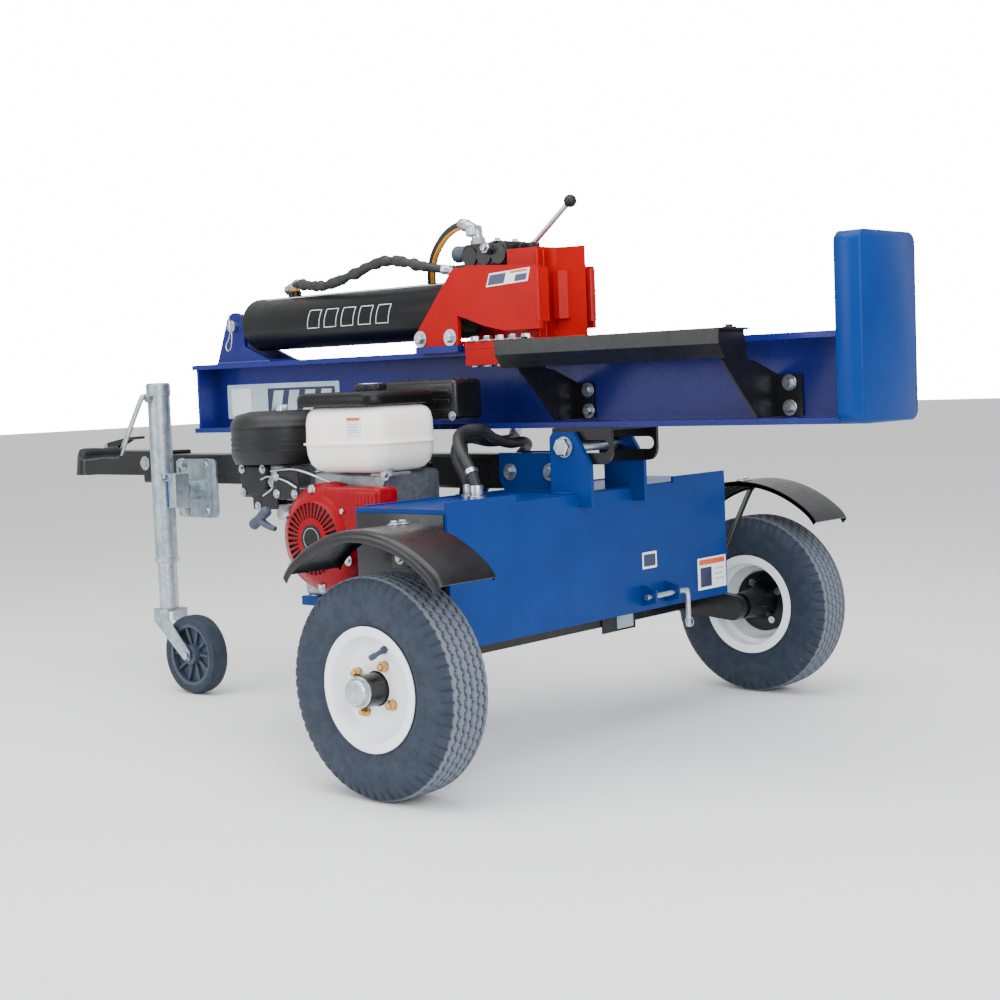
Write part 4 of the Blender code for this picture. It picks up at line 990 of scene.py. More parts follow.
def routeOf(name, count):
    return smoothPath([at(*p) for p in hoseRoutes[name]], count)


def ferrule(name, p, axis, radius, body, length=0.030, nut=0.024):
    """A crimped sleeve with flutes, and a hexagon nut beyond it."""
    u, v, w = basis(axis)
    a = np.linspace(0, 2 * np.pi, 48, endpoint=False)
    h = np.array([0, 0, 0.002, length - 0.003, length, length])
    r = np.array([0.0, 0.92, 1, 1, 0.86, 0.0])[:, None] * radius * (1 - 0.05 * (np.cos(a * 8) > 0.2)[None, :])
    grid = np.asarray(p) + r[..., None] * (np.cos(a)[:, None] * u + np.sin(a)[:, None] * v) + h[
        :, None, None
    ] * w
    shapes = [gridShape(grid), *hexHead(np.asarray(p) + w * length, w, nut, 0.013, False)]
    return piece(name, shapes, "zincPlate", body, sharp=30)


def makeHoses():
    body = "beam_assembly"
    path = routeOf("cylinder", 220)
    s = np.linspace(0, 1, len(path))
    bump = np.clip(np.minimum(s - 0.12, 0.92 - s) * 30, 0, 1)[:, None]
    folds = rng.uniform(0, 6.28, 12)

    def crumple(i, a):
        """Bunched sleeve: short folds along the hose whose phase wanders round it."""
        t = i / len(path)
        wave = sum(np.sin(t * k * 19 + folds[k] + 1.2 * np.sin(a + folds[k + 4])) for k in (3, 4, 6))
        return 0.0011 * wave * bump

    radius = 0.0098 + 0.0022 * bump[:, 0]
    piece(
        "workHose", [sweep(path, radius, 28, wrinkle=crumple)], "hoseRubber", body, ("cylinder_hose",), 70,
    )
    start, end = path[6], path[-8]
    ferrule("workFerruleTail", start + (path[0] - start) * 0.2, start - path[18], 0.0118, body, 0.026, 0.022)
    ferrule("workFerruleHead", end, path[-1] - end, 0.0118, body, 0.022, 0.020)
    c = cylinder
    top = c["z"] + c["radius"] + 0.0115
    hexFitting(at(c["port"], 0, top), (0, 0, 1), 0.026, 0.012, "yellowZinc", body, "tailPortHex")
    elbow = smoothPath(
        [
            at(c["port"], 0, top + 0.008), at(c["port"], 0, top + 0.016),
            at(c["port"] + 0.010, -0.001, top + 0.020), at(c["port"] + 0.030, -0.004, top + 0.019)
        ], 24
    )
    piece("tailElbow", [sweep(elbow, 0.0098, 20)], "zincPlate", body)
    # the two hoses that cross the pivot are made in an upper and a lower piece that meet in a union
    crossing = {"pressure": (0.0100, "pressure_hose", 0.70), "back": (0.0115, "return_hose", 0.46)}
    for name, (radius, node, cut) in crossing.items():
        path = routeOf(name, 260)
        k = int(cut * len(path))
        upper = piece(
            f"{name}HoseUpper", [sweep(path[: k + 1], radius, 24)], "hoseRubber", None, (node,), 70,
        )
        lower = piece(
            f"{name}HoseLower", [sweep(path[k:], radius, 24)], "hoseRubber", None, (node,), 70
        )
        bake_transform(upper)
        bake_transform(lower)
        along = path[k + 1] - path[k - 1]
        along /= np.linalg.norm(along)
        union = [
            (0.0, -0.014), (radius + 0.0010, -0.014), (radius + 0.0022, -0.012), (radius + 0.0022, 0.012),
            (radius + 0.0010, 0.014), (0.0, 0.014)
        ]
        piece(f"{name}Union", [lathe(union, path[k], along, 32)], "zincPlate", "pivot")
    path = routeOf("pressure", 260)
    run = path[24:118]
    along = np.gradient(run, axis=0)
    along /= np.linalg.norm(along, axis=1)[:, None]
    towards = np.cross(along, (0, 1, 0))
    piece(
        "hoseStripe", [sweep(run + 0.0064 * towards - np.array([0, 0.0040, 0]), 0.0046, 12)], "orangeStripe",
        body
    )
    path = routeOf("suction", 200)
    piece(
        "suctionHoseTube", [sweep(path, 0.0115, 24)], "hoseRubber", "chassis", ("suction_hose",), 70,
    )
    for name, p in (("suctionFoot", at(-0.100, -0.256, 0.5244)), ("returnFoot", at(-0.146, -0.226, 0.5244))):
        collar = [
            (0.0, 0.0), (0.019, 0.0), (0.019, 0.006), (0.0145, 0.008), (0.0145, 0.026), (0.0135, 0.028),
            (0.0, 0.028)
        ]
        piece(name, [lathe(collar, p, (0, 0, 1), 36)], "zincPlate", "chassis")
    clampRing = [(0.0118, 0.0), (0.0136, 0.0), (0.0136, 0.010), (0.0118, 0.010)]
    piece(
        "suctionClamp", [lathe(hollow(clampRing), path[14], path[16] - path[14], 40)], "zincPlate", "chassis"
    )


def makeValve():
    body = "beam_assembly"
    block = [
        roundBox(at(-0.318, -0.026, 1.012), at(-0.198, 0.052, 1.064), 0.006),
        roundBox(at(-0.361, -0.021, 1.0005), at(-0.300, 0.023, 1.022), 0.003)
    ]
    for x in (-0.300, -0.258, -0.216):
        block.append(
            lathe(
                [(0.0, 0.0), (0.021, 0.0), (0.021, 0.080), (0.019, 0.082), (0.0, 0.082)],
                at(x, -0.030, 1.036), (0, 1, 0), 40
            )
        )
    bonnet = [
        (0.0, 0.0), (0.0185, 0.0), (0.0185, 0.030), (0.0170, 0.034), (0.0175, 0.036), (0.0175, 0.047),
        (0.0150, 0.050), (0.0, 0.050)
    ]
    block.append(lathe(bonnet, at(-0.311, 0.030, 1.042), (-1, 0, 0), 40))
    block.append(
        lathe(
            [(0.0, 0.0), (0.020, 0.0), (0.020, 0.012), (0.017, 0.014), (0.0, 0.014)],
            at(-0.204, 0.030, 1.040), (1, 0, 0), 40
        )
    )
    block.append(
        lathe(
            [(0.0, 0.0), (0.016, 0.0), (0.016, 0.020), (0.0, 0.022)], at(-0.250, 0.052, 1.036), (0, 1, 0), 32
        )
    )
    piece("valveBody", block, "blackPowderCoat", body, ("control_valve",), 35)
    detent = [
        (0.0, 0.0), (0.0150, 0.0005), (0.0178, 0.004), (0.0178, 0.022), (0.0190, 0.024), (0.0190, 0.030),
        (0.0165, 0.034), (0.0, 0.034)
    ]
    piece("detentCap", [lathe(detent, at(-0.3265, -0.006, 1.046), (-1, 0, 0), 40)], "blueGreyPlastic", body)
    relief = [(0.0, 0.0), (0.0120, 0.0), (0.0120, 0.014), (0.0085, 0.016), (0.0085, 0.022), (0.0, 0.024)]
    piece(
        "reliefCap", [lathe(relief, at(-0.240, -0.031, 1.046), (0, -1, 0.3), 6)], "zincPlate", body, sharp=28
    )
    bolts(
        "valveScrews", [at(x, y, 1.0645) for x, y in ((-0.290, 0.040), (-0.226, 0.040), (-0.226, -0.018))],
        (0, 0, 1), 0.011, 0.006, body
    )
    piece(
        "valveLabel", [prism(roundRect(-0.282, -0.016, -0.238, 0.012, 0.003), 0.0006, "Z", 1.0644)],
        "amberLabel", body
    )
    hexFitting(at(-0.303, 0.008, 1.058), (-0.25, 0, 1), 0.030, 0.020, "zincPlate", body, "inletHex")
    neck = smoothPath(
        [
            at(-0.304, 0.007, 1.072), at(-0.308, 0.006, 1.086), at(-0.316, 0.005, 1.098),
            at(-0.330, 0.005, 1.106), at(-0.343, 0.006, 1.109)
        ], 30
    )
    piece(
        "inletElbow",
        [sweep(neck, 0.0130, 24), roundBox(at(-0.329, -0.0105, 1.082), at(-0.301, 0.0215, 1.108), 0.006)],
        "zincPlate", body
    )
    path = routeOf("pressure", 260)
    ferrule("pressureFerrule", path[10], path[20] - path[10], 0.0126, body, 0.026, 0.001)
    hexFitting(at(-0.3610, -0.006, 1.0105), (-1, -0.2, 0.1), 0.019, 0.016, "yellowZinc", body, "headPortHex")
    # lever: a black bracket, a tapered rod and a ball
    low, high = at(-0.174, 0.036, 1.053), at(-0.075, 0.050, 1.140)
    axis = (high - low) / np.linalg.norm(high - low)
    reach = np.linalg.norm(high - low)
    rod = [
        (0.0, -0.004), (0.0066, -0.004), (0.0066, 0.010), (0.0058, 0.014), (0.0056, reach - 0.012),
        (0.0, reach - 0.010)
    ]
    piece("leverRod", [lathe(rod, low, axis, 28)], "zincPlate", "lever", ("valve_lever",), 40)
    t = np.linspace(-math.pi / 2, math.pi / 2, 33)
    ball = [(0.014 * math.cos(x), 0.014 * math.sin(x)) for x in t]
    piece("leverBall", [lathe(ball, high, axis, 48)], "mouldedBlack", "lever")
    piece(
        "leverBlock", [roundBox(at(-0.184, 0.022, 1.0466), at(-0.162, 0.050, 1.0599), 0.003)],
        "blackPowderCoat", "lever"
    )


makeHoses()
makeValve()
print("valve and hoses made")

# ---- log table fasteners


def makeTableTrim():
    body = "beam_assembly"
    bolts("tableBoltsBack", [at(0.003, -0.0096, z) for z in (0.692, 0.736)], (0, -1, 0), 0.016, 0.008, body)
    bolts("tableBoltsFront", [at(0.492, -0.0096, z) for z in (0.690, 0.738)], (0, -1, 0), 0.016, 0.008, body)
    bolts(
        "tableTopBolts", [at(x, -0.150, 0.8442) for x in (-0.048, 0.452)], (0, 0, 1), 0.014, 0.005, body,
        look="blackPowderCoat"
    )
    for k, x in enumerate((-0.030, 0.462)):
        weld(
            f"tableWeld_{k}", [at(x + 0.004, -0.208, 0.8385), at(x + 0.004, -0.124, 0.8385)], 0.0022, body,
            "blackPowderCoat"
        )


makeTableTrim()

# ---- pivot, reservoir, tongue and coupler

pivotPlace = dict(x=0.005, z=0.621)
tank = dict(x0=-0.210, x1=0.037, y0=-0.4926, y1=0.437, lid=0.524)


def makeChassisTrim():
    body = "chassis"
    for k, side in enumerate((-1, 1)):
        out = (0, side, 0)
        bolts(
            f"cheekBolts_{k}", [at(x, side * 0.0446, 0.565) for x in (-0.192, -0.080)], out, 0.019, 0.010,
            body
        )
        weld(
            f"cheekWeld_{k}",
            [at(-0.206, side * 0.0462, tank["lid"] + 0.001), at(-0.070, side * 0.0462, tank["lid"] + 0.001)],
            0.0028, body, "blueEnamel"
        )
        weld(
            f"earWeld_{k}",
            [at(-0.030, side * 0.0975, tank["lid"] + 0.001), at(0.030, side * 0.0975, tank["lid"] + 0.001)],
            0.0026, body, "blueEnamel"
        )
    # blank adhesive labels on the back of the reservoir
    x = tank["x1"] + 0.0004
    plain = [
        ("levelPlate", 0.376, 0.310, 0.056, 0.036, "whiteLabel", 0.0),
        ("levelBand", 0.376, 0.336, 0.050, 0.006, "amberLabel", 0.0003),
        ("levelField", 0.352, 0.302, 0.022, 0.022, "darkLabel", 0.0003)
    ]
    plain += [
        ("smallPlate", 0.140, 0.363, 0.026, 0.018, "whiteLabel", 0.0),
        ("smallField", 0.140, 0.363, 0.021, 0.013, "darkLabel", 0.0003)
    ]
    plain += [
        (f"levelLine_{k}", 0.404 - 0.003 * (k % 2), 0.318 - 0.012 * k, 0.018, 0.0025, "paleLabel", 0.0003)
        for k in range(3)
    ]
    for name, y, z, w, h, look, lift in plain:
        piece(
            name,
            [prism(roundRect(y - w, z - h, y + w, z + h, min(0.002, h * 0.6), 3), 0.0005, "X", x + lift)],
            look, body
        )
    low, high = at(-0.1236, 0.168, 0.1850), at(-0.1206, 0.292, 0.2350)
    piece("axleGusset", [roundBox(low, high, 0.001, 2)], "blackPowderCoat", body)
    piece(
        "axleTag", [prism(roundRect(0.222, 0.190, 0.282, 0.228, 0.003), 0.0006, "X", -0.1202)], "paleLabel",
        body
    )
    # painted shade: a thin black sheet over the reservoir's near end face stands in for the shadow under the
    # near mudguard
    near = tank["y0"]
    piece(
        "nearEndPaintedShade",
        [roundBox(at(-0.206, near - 0.0034, 0.330), at(0.030, near - 0.0004, 0.515), 0.0012, 2)],
        "blackPowderCoat", body
    )
    # rolled seams along the reservoir's long edges and a drain plug
    for k, (ex, ez) in enumerate(
        ((tank["x0"] + 0.003, tank["lid"] + 0.0006), (tank["x1"] - 0.0085, tank["lid"] + 0.0006))
    ):
        weld(
            f"tankSeam_{k}", [at(ex, tank["y0"] + 0.02, ez), at(ex, tank["y1"] - 0.02, ez)], 0.0022, body,
            "blueEnamel", 0.006
        )
    hexFitting(
        at(-0.086, tank["y1"] + 0.0002, 0.285), (0, 1, 0), 0.026, 0.010, "zincPlate", body, "drainPlug"
    )
    # filler cap: knurled rim and a breather boss
    knurl = 1 + 0.03 * (np.cos(np.linspace(0, 2 * np.pi, 96, endpoint=False) * 24) > 0)
    rows = [
        (0.0, 0.0), (0.0275, 0.0), (0.0275, 0.014), (0.0262, 0.0165), (0.0180, 0.0175), (0.0170, 0.0215),
        (0.0, 0.0218)
    ]
    points = ribbed(
        rows, at(-0.120, 0.300, tank["lid"] + 0.0006), lambda r,
        h: knurl / 1.03 if 0 < h < 0.016 or r == 0.0275 else 1 / 1.03
    )
    piece("oilCap", [gridShape(points)], "mouldedBlack", "oil_lid", ("filler_cap",), 30)
    shaft = [(0.0, -0.1060), (0.0125, -0.1060), (0.0125, 0.1060), (0.0, 0.1060)]
    pivotShapes = [lathe(shaft, at(pivotPlace["x"], 0, pivotPlace["z"]), (0, 1, 0), 40)]
    for side in (-1, 1):
        washer = [(0.0, 0.0), (0.0215, 0.0), (0.0215, 0.0028), (0.0, 0.0028)]
        pivotShapes.append(
            lathe(washer, at(pivotPlace["x"], side * 0.0965, pivotPlace["z"]), (0, side, 0), 40)
        )
        pivotShapes += hexHead(
            at(pivotPlace["x"], side * 0.0993, pivotPlace["z"]), (0, side, 0), 0.034, 0.014, False
        )
    piece("pivotBolt", pivotShapes, "zincPlate", "pivot", ("pivot_shaft",), 28)
    pin = [
        at(0.062, 0.090, 0.288), at(0.062, 0.228, 0.288), at(0.062, 0.238, 0.284), at(0.062, 0.243, 0.274),
        at(0.062, 0.244, 0.206)
    ]
    ring = [
        at(0.062 + 0.011 * math.cos(t), 0.2465, 0.216 - 0.011 * math.sin(t))
        for t in np.linspace(0, 2 * math.pi, 40)
    ]
    piece(
        "lockingPin", [sweep(smoothPath(pin, 60), 0.0059, 20), sweep(np.array(ring), 0.0011, 8)], "zincPlate",
        "locking_pin", ("lock_pin",), 40
    )
    # coupler: seam weld at the tongue, side bolts, and a through rivet in the latch
    for k, side in enumerate((-1, 1)):
        spots = [at(x, side * 0.0464, 0.580) for x in (-1.480, -1.430)]
        bolts(f"couplerBolts_{k}", spots, (0, side, 0), 0.019, 0.009, body)
        weld(
            f"restWeld_{k}", [at(-1.106, side * 0.031, 0.6075), at(-1.094, side * 0.031, 0.6075)], 0.0024,
            body, "blackPowderCoat"
        )
    rivet = [
        (0.0, -0.017), (0.0085, -0.017), (0.0085, -0.0135), (0.0055, -0.0130), (0.0055, 0.0130),
        (0.0085, 0.0135), (0.0085, 0.017), (0.0, 0.017)
    ]
    piece("latchRivet", [lathe(rivet, at(-1.696, 0, 0.622), (0, 1, 0), 28)], "zincPlate", "latch")
    bolts("tongueBolts", [at(x, -0.0384, 0.565) for x in (-0.980,)], (0, -1, 0), 0.016, 0.008, body)


makeChassisTrim()
print("chassis made")

# ---- engine, with its fan housing, tank, air cleaner, carburettor and silencer guard

engine = dict(x=-0.410, z=0.449, wall=-0.3565, cover=0.116)
fuelCapPlace = (-0.340, -0.310)
cleanerPlace = (-0.640, -0.300)


def makeFanHousing():
    """Bowl in polar rows; the grille is a ring of slots cut by leaving out cells, over a dark disc."""
    e, body = engine, "chassis"
    steps = 144
    rows = [
        (e["cover"] - 0.0005, 0.0), (e["cover"], 0.006), (e["cover"] - 0.002, 0.040),
        (e["cover"] - 0.012, 0.058), (0.080, 0.0715), (0.076, 0.0730), (0.044, 0.0752), (0.030, 0.0756),
        (0.0, 0.0756)
    ]
    a = np.linspace(0, 2 * np.pi, steps, endpoint=False)
    centre = at(e["x"], e["wall"], e["z"])

    def ringOf(r, h):
        return np.stack(
            [centre[0] + r * np.cos(a), np.full(steps, centre[1] - h), centre[2] + r * np.sin(a)], -1
        )

    grid = np.array([ringOf(max(r, 1e-5), h) for r, h in rows])
    points, faces = gridShape(grid)
    first = rows.index((0.076, 0.0730))
    slotted = []
    for face in faces:
        ring = sorted({v // steps for v in face})
        column = min(v % steps for v in face) if max(v % steps for v in face) - min(
            v % steps
            for v in face
        ) < 3 else steps - 1
        inSlot = ring == [first, first + 1] and column % 4 in (1, 2)
        if not inSlot:
            slotted.append(face)
    fins = []
    for k in range(36):
        t = a[4 * k + 1] - 0.02
        ray = np.array([math.cos(t), 0, math.sin(t)])
        fins.append(sweep([centre + r * ray - (0, 0.0738, 0) for r in (0.045, 0.0755)], 0.0010, 6))
    piece("fanBowl", [(points, slotted)], "coverEnamel", body, ("fan_cover",), 40)
    piece("fanFins", fins, "coverEnamel", body)
    dark = [(0.0, 0.066), (0.080, 0.066), (0.080, 0.060), (0.0, 0.060)]
    piece("fanShadow", [lathe(dark, centre, (0, -1, 0), 48)], "shadowBlack", body)
    hub = [(0.0, 0.0), (0.030, 0.0), (0.030, 0.0010), (0.027, 0.0016), (0.0, 0.0016)]
    piece(
        "fanBadge", [lathe(hub, at(e["x"], e["wall"] - 0.0753, e["z"]), (0, -1, 0), 48)], "shadowBlack", body
    )
    badge = [(0.022, 0.0), (0.0235, 0.0), (0.0235, 0.0006), (0.022, 0.0006)]
    piece(
        "fanRing", [lathe(hollow(badge), at(e["x"], e["wall"] - 0.0766, e["z"]), (0, -1, 0), 64)],
        "zincPlate", body
    )
    spots = [
        at(e["x"] + 0.102 * math.cos(t), e["wall"] - 0.0600, e["z"] + 0.102 * math.sin(t))
        for t in np.radians((35, 95, 155, 215, 275, 335))
    ]
    bolts("fanBolts", spots, (0, -1, 0), 0.011, 0.005, body)
    low, high = at(-0.392, -0.4196, 0.4635), at(-0.2205, -0.3568, 0.5565)
    duct = [roundBox(low, high, 0.012, 6)]
    for k in range(6):
        x = -0.285 + 0.0105 * k
        duct.append(roundBox(at(x, -0.4208, 0.478), at(x + 0.005, -0.4190, 0.540), 0.0006, 2))
    piece("fanDuct", duct, "coverEnamel", body)


def makeEngine():
    body = "chassis"
    makeFanHousing()
    # crankcase with a split line, ribs and cover screws
    case = [roundBox(at(-0.525, -0.3556, 0.3156), at(-0.310, -0.1454, 0.519), 0.012)]
    for k in range(4):
        z = 0.352 + 0.040 * k
        case.append(roundBox(at(-0.5266, -0.342, z), at(-0.5240, -0.160, z + 0.006), 0.001, 2))
        case.append(roundBox(at(-0.3110, -0.342, z), at(-0.3084, -0.160, z + 0.006), 0.001, 2))
    case.append(roundBox(at(-0.5100, -0.330, 0.500), at(-0.2902, -0.160, 0.5812), 0.010))
    head = []
    for k in range(9):
        z = 0.4445 + 0.0124 * k
        head.append(roundBox(at(-0.5995, -0.3295, z), at(-0.510, -0.1705, z + 0.0052), 0.0022, 3))
    head.append(roundBox(at(-0.5850, -0.316, 0.447), at(-0.500, -0.184, 0.552), 0.010))
    piece("crankcase", [*case, *head], "castAluminium", body, ("engine_block",), 35)
    spots = [at(x, y, 0.5814) for x, y in ((-0.500, -0.320), (-0.500, -0.170), (-0.300, -0.320))]
    bolts("deckBolts", spots, (0, 0, 1), 0.012, 0.006, body)
    bolts(
        "baseBolts",
        [
            at(x, y, 0.3152)
            for x, y in ((-0.502, -0.366 + 0.026), (-0.240, -0.340), (-0.502, -0.070), (-0.240, -0.070))
        ], (0, 0, 1), 0.016, 0.009, body
    )
    # fuel tank: two moulded halves that meet in a flange, under a dark tray with the cap in it
    rows = [
        (0.5835, 0.050, 0.020), (0.5845, 0.038, 0.028), (0.5900, 0.024, 0.036), (0.6020, 0.013, 0.042),
        (0.6220, 0.007, 0.046), (0.6425, 0.0050, 0.048)
    ]
    rows += [
        (0.6430, 0.0004, 0.050), (0.6470, 0.0004, 0.050), (0.6475, 0.0050, 0.048), (0.6900, 0.0060, 0.047),
        (0.7060, 0.0095, 0.044), (0.7150, 0.0160, 0.038), (0.7216, 0.028, 0.030)
    ]
    piece(
        "fuelTankShell", [loft(-0.4748, -0.4118, -0.2302, -0.2002, rows, 14)], "tankPolyethylene", body,
        ("fuel_tank",), 50
    )
    y = -0.4074
    marks = [
        ("tankLabel", -0.3150, -0.2750, 0.6620, 0.7000, "whiteLabel", 0.0),
        ("tankLabelHead", -0.3140, -0.2760, 0.6930, 0.6990, "amberLabel", 0.0004)
    ]
    marks += [
        (
            f"tankLabelLine_{k}", -0.3130, -0.2800 - 0.003 * (k % 2), 0.6680 + 0.0055 * k,
            0.6695 + 0.0055 * k, "paleLabel", 0.0004
        )
        for k in range(4)
    ]
    for name, x0, x1, z0, z1, look, lift in marks:
        piece(name, [prism([(x0, z0), (x1, z0), (x1, z1), (x0, z1)], 0.0006, "Y", y - lift)], look, body)
    rows = [
        (0.7224, 0.006, 0.030), (0.7250, 0.0016, 0.034), (0.7290, 0.0004, 0.036), (0.7400, 0.0004, 0.036),
        (0.7460, 0.0030, 0.034), (0.7500, 0.0090, 0.030), (0.7518, 0.020, 0.024)
    ]
    piece(
        "tankTray", [loft(-0.488, -0.406, -0.242, -0.204, rows, 14)], "cylinderBlack", body, ("tank_tray",),
        60
    )
    # ribbed filler cap with a bright crown
    rows = [
        (0.0, 0.0004), (0.0325, 0.0004), (0.0338, 0.002), (0.0338, 0.011), (0.0320, 0.0138), (0.0270, 0.0146),
        (0.0, 0.0146)
    ]
    ribs = 1 - 0.035 * (np.cos(np.linspace(0, 2 * np.pi, 96, endpoint=False) * 18) > 0.35)
    points = ribbed(rows, at(*fuelCapPlace, 0.7524), lambda r, h: ribs if r > 0.033 else 1)
    piece("fuelCap", [gridShape(points)], "mouldedBlack", "fuel_lid", ("fuel_cap",), 30)
    crown = [(0.0, 0.0), (0.0260, 0.0), (0.0250, 0.0010), (0.0140, 0.0014), (0.0, 0.0015)]
    piece("fuelCapCrown", [lathe(crown, at(*fuelCapPlace, 0.7670), (0, 0, 1), 64)], "zincPlate", "fuel_lid")
    # round air cleaner: lid with a lip, body with vents, wing nut
    profile = [
        (0.0, 0.1155), (0.014, 0.1155), (0.068, 0.1150), (0.096, 0.1085), (0.1085, 0.0940), (0.1105, 0.0850),
        (0.1118, 0.0838), (0.1118, 0.0790)
    ]
    profile += [(0.1100, 0.0780), (0.1108, 0.0180), (0.1040, 0.0005), (0.0, 0.0005)]
    shapes = [lathe(profile, at(*cleanerPlace, 0.6003), (0, 0, 1), 128)]
    for k in range(3):
        groove = 0.630 + 0.012 * k
        shapes.append(
            lathe(
                hollow([(0.1100, 0.0), (0.1119, 0.0), (0.1119, 0.0035), (0.1100, 0.0035)]),
                at(*cleanerPlace, groove), (0, 0, 1), 128
            )
        )
    piece("airCleaner", shapes, "mouldedBlack", body, ("air_cleaner",), 38)
    wing = [
        roundBox(at(-0.664, -0.3025, 0.7150), at(-0.616, -0.2975, 0.7290), 0.002, 3),
        lathe(
            [(0.0, 0.0), (0.010, 0.0), (0.007, 0.010), (0.0, 0.010)], at(*cleanerPlace, 0.7155), (0, 0, 1), 24
        )
    ]
    piece("cleanerNut", wing, "zincPlate", body)
    # carburettor cluster: moulded housing, cast body and bowl, choke and control plate
    low, high = at(-0.7376, -0.3446, 0.5240), at(-0.6450, -0.2356, 0.5990)
    housing = [
        roundBox(low, high, 0.010), roundBox(at(-0.700, -0.3440, 0.4960), at(-0.6520, -0.250, 0.5400), 0.008)
    ]
    housing.append(
        lathe(
            [(0.0, 0.0), (0.024, 0.0), (0.026, 0.004), (0.026, 0.030), (0.0, 0.032)],
            at(-0.690, -0.3120, 0.548), (0, -1, 0), 40
        )
    )
    piece("chokeHousing", housing, "mouldedBlack", body, ("carburettor",), 35)
    cluster = [
        roundBox(at(-0.646, -0.335, 0.520), at(-0.6015, -0.250, 0.5985), 0.006),
        lathe(
            [(0.0, 0.0), (0.024, 0.0), (0.026, 0.006), (0.026, 0.034), (0.0, 0.036)],
            at(-0.628, -0.300, 0.4745), (0, 0, 1), 40
        )
    ]
    cluster.append(
        lathe(
            [(0.0, 0.0), (0.013, 0.0), (0.013, 0.010), (0.0, 0.010)], at(-0.628, -0.3350, 0.560), (0, -1, 0),
            6
        )
    )
    piece("carburettorBody", cluster, "castAluminium", body)
    plate = [
        prism(roundRect(-0.600, 0.524, -0.520, 0.586, 0.010), 0.004, "Y", -0.362, 0.001),
        prism(roundRect(-0.660, 0.500, -0.604, 0.545, 0.008), 0.004, "Y", -0.349, 0.001)
    ]
    piece("controlPlate", plate, "mouldedBlack", body)
    arms = [
        [(-0.655, -0.352, 0.566), (-0.610, -0.366, 0.574), (-0.560, -0.368, 0.566), (-0.520, -0.368, 0.550)],
        [(-0.650, -0.352, 0.530), (-0.620, -0.353, 0.545), (-0.600, -0.366, 0.560)],
        [(-0.600, -0.370, 0.586), (-0.520, -0.372, 0.590), (-0.440, -0.372, 0.572), (-0.400, -0.372, 0.560)]
    ]
    for k, route in enumerate(arms):
        piece(f"linkage_{k}", [sweep(smoothPath([at(*p) for p in route], 24), 0.0024, 10)], "zincPlate", body)
    bolts(
        "clusterBolts", [at(x, -0.3642, z) for x, z in ((-0.590, 0.536), (-0.532, 0.536), (-0.590, 0.574))],
        (0, -1, 0), 0.010, 0.005, body
    )
    bolts(
        "housingBolts",
        [at(x, -0.3448, z) for x, z in ((-0.726, 0.536), (-0.726, 0.588), (-0.656, 0.588), (-0.676, 0.506))],
        (0, -1, 0), 0.010, 0.005, body
    )
    # cast bracket that carries the near end of the fuel tank
    arm = [
        (-0.330, 0.470), (-0.312, 0.470), (-0.286, 0.520), (-0.262, 0.566), (-0.244, 0.584), (-0.244, 0.592),
        (-0.272, 0.592), (-0.296, 0.566), (-0.318, 0.525)
    ]
    bracket = [
        prism(arm, 0.010, "Y", -0.352, 0.001),
        prism(roundRect(-0.300, 0.5760, -0.240, 0.5830, 0.002), 0.060, "Y", -0.330, 0.001)
    ]
    piece("tankBracket", bracket, "castAluminium", body)
    bolts(
        "bracketBolts", [at(x, -0.3574, z) for x, z in ((-0.320, 0.486), (-0.258, 0.580))], (0, -1, 0), 0.013,
        0.006, body
    )
    # starter grip, its rope eye, and the muffler guard
    low, high = at(-0.602, -0.428, 0.470), at(-0.548, -0.428, 0.508)
    along = (high - low) / np.linalg.norm(high - low)
    reach = np.linalg.norm(high - low)
    bar = [
        (0.0, 0.0), (0.0080, 0.0006), (0.0118, 0.005), (0.0122, 0.012), (0.0105, reach * 0.40),
        (0.0100, reach * 0.5), (0.0105, reach * 0.60), (0.0122, reach - 0.012), (0.0118, reach - 0.005),
        (0.0080, reach - 0.0006), (0.0, reach)
    ]
    stem = smoothPath(
        [
            at(-0.577, -0.428, 0.487), at(-0.562, -0.4275, 0.477), at(-0.546, -0.426, 0.470),
            at(-0.532, -0.424, 0.466)
        ], 24
    )
    piece(
        "starterBar", [lathe(bar, low, along, 36), sweep(stem, np.linspace(0.0095, 0.0055, 24), 20)],
        "blueGreyPlastic", "starter_pull", ("starter_grip",), 50
    )
    makeMuffler()


def makeMuffler():
    """Box with louvre rows on its sides and lid, on a short stack from the cylinder head."""
    x0, x1, y0, y1, z0, z1 = -0.4296, -0.2154, -0.1856, -0.0964, 0.6844, 0.7696
    shapes = [
        roundBox(at(x0, y0, z0), at(x1, y1, z1), 0.012, 6),
        lathe(
            [(0.0, 0.0), (0.020, 0.0), (0.020, 0.106), (0.0, 0.106)], at(-0.360, -0.150, 0.582), (0, 0, 1), 36
        )
    ]
    shapes.append(
        lathe(
            hollow([(0.0202, 0.0), (0.028, 0.0), (0.028, 0.008), (0.0202, 0.008)]),
            at(-0.360, -0.150, 0.5825), (0, 0, 1), 36
        )
    )
    for k in range(3):
        x = x0 + 0.012 + 0.066 * k
        for row in range(3):
            z = z0 + 0.014 + 0.021 * row
            for y in (y0 - 0.0018, y1 - 0.0016):
                shapes.append(roundBox(at(x, y, z), at(x + 0.054, y + 0.0034, z + 0.009), 0.0016, 3))
            y = y0 + 0.012 + 0.024 * row
            shapes.append(roundBox(at(x, y, z1 - 0.001), at(x + 0.054, y + 0.009, z1 + 0.0018), 0.0013, 3))
    piece("silencerGuard", shapes, "blackPowderCoat", "chassis", ("muffler",), 35)
    bolts(
        "guardBolts", [at(x, y0 - 0.0004, z0 + 0.008) for x in (x0 + 0.008, x1 - 0.008)], (0, -1, 0), 0.010,
        0.004, "chassis"
    )


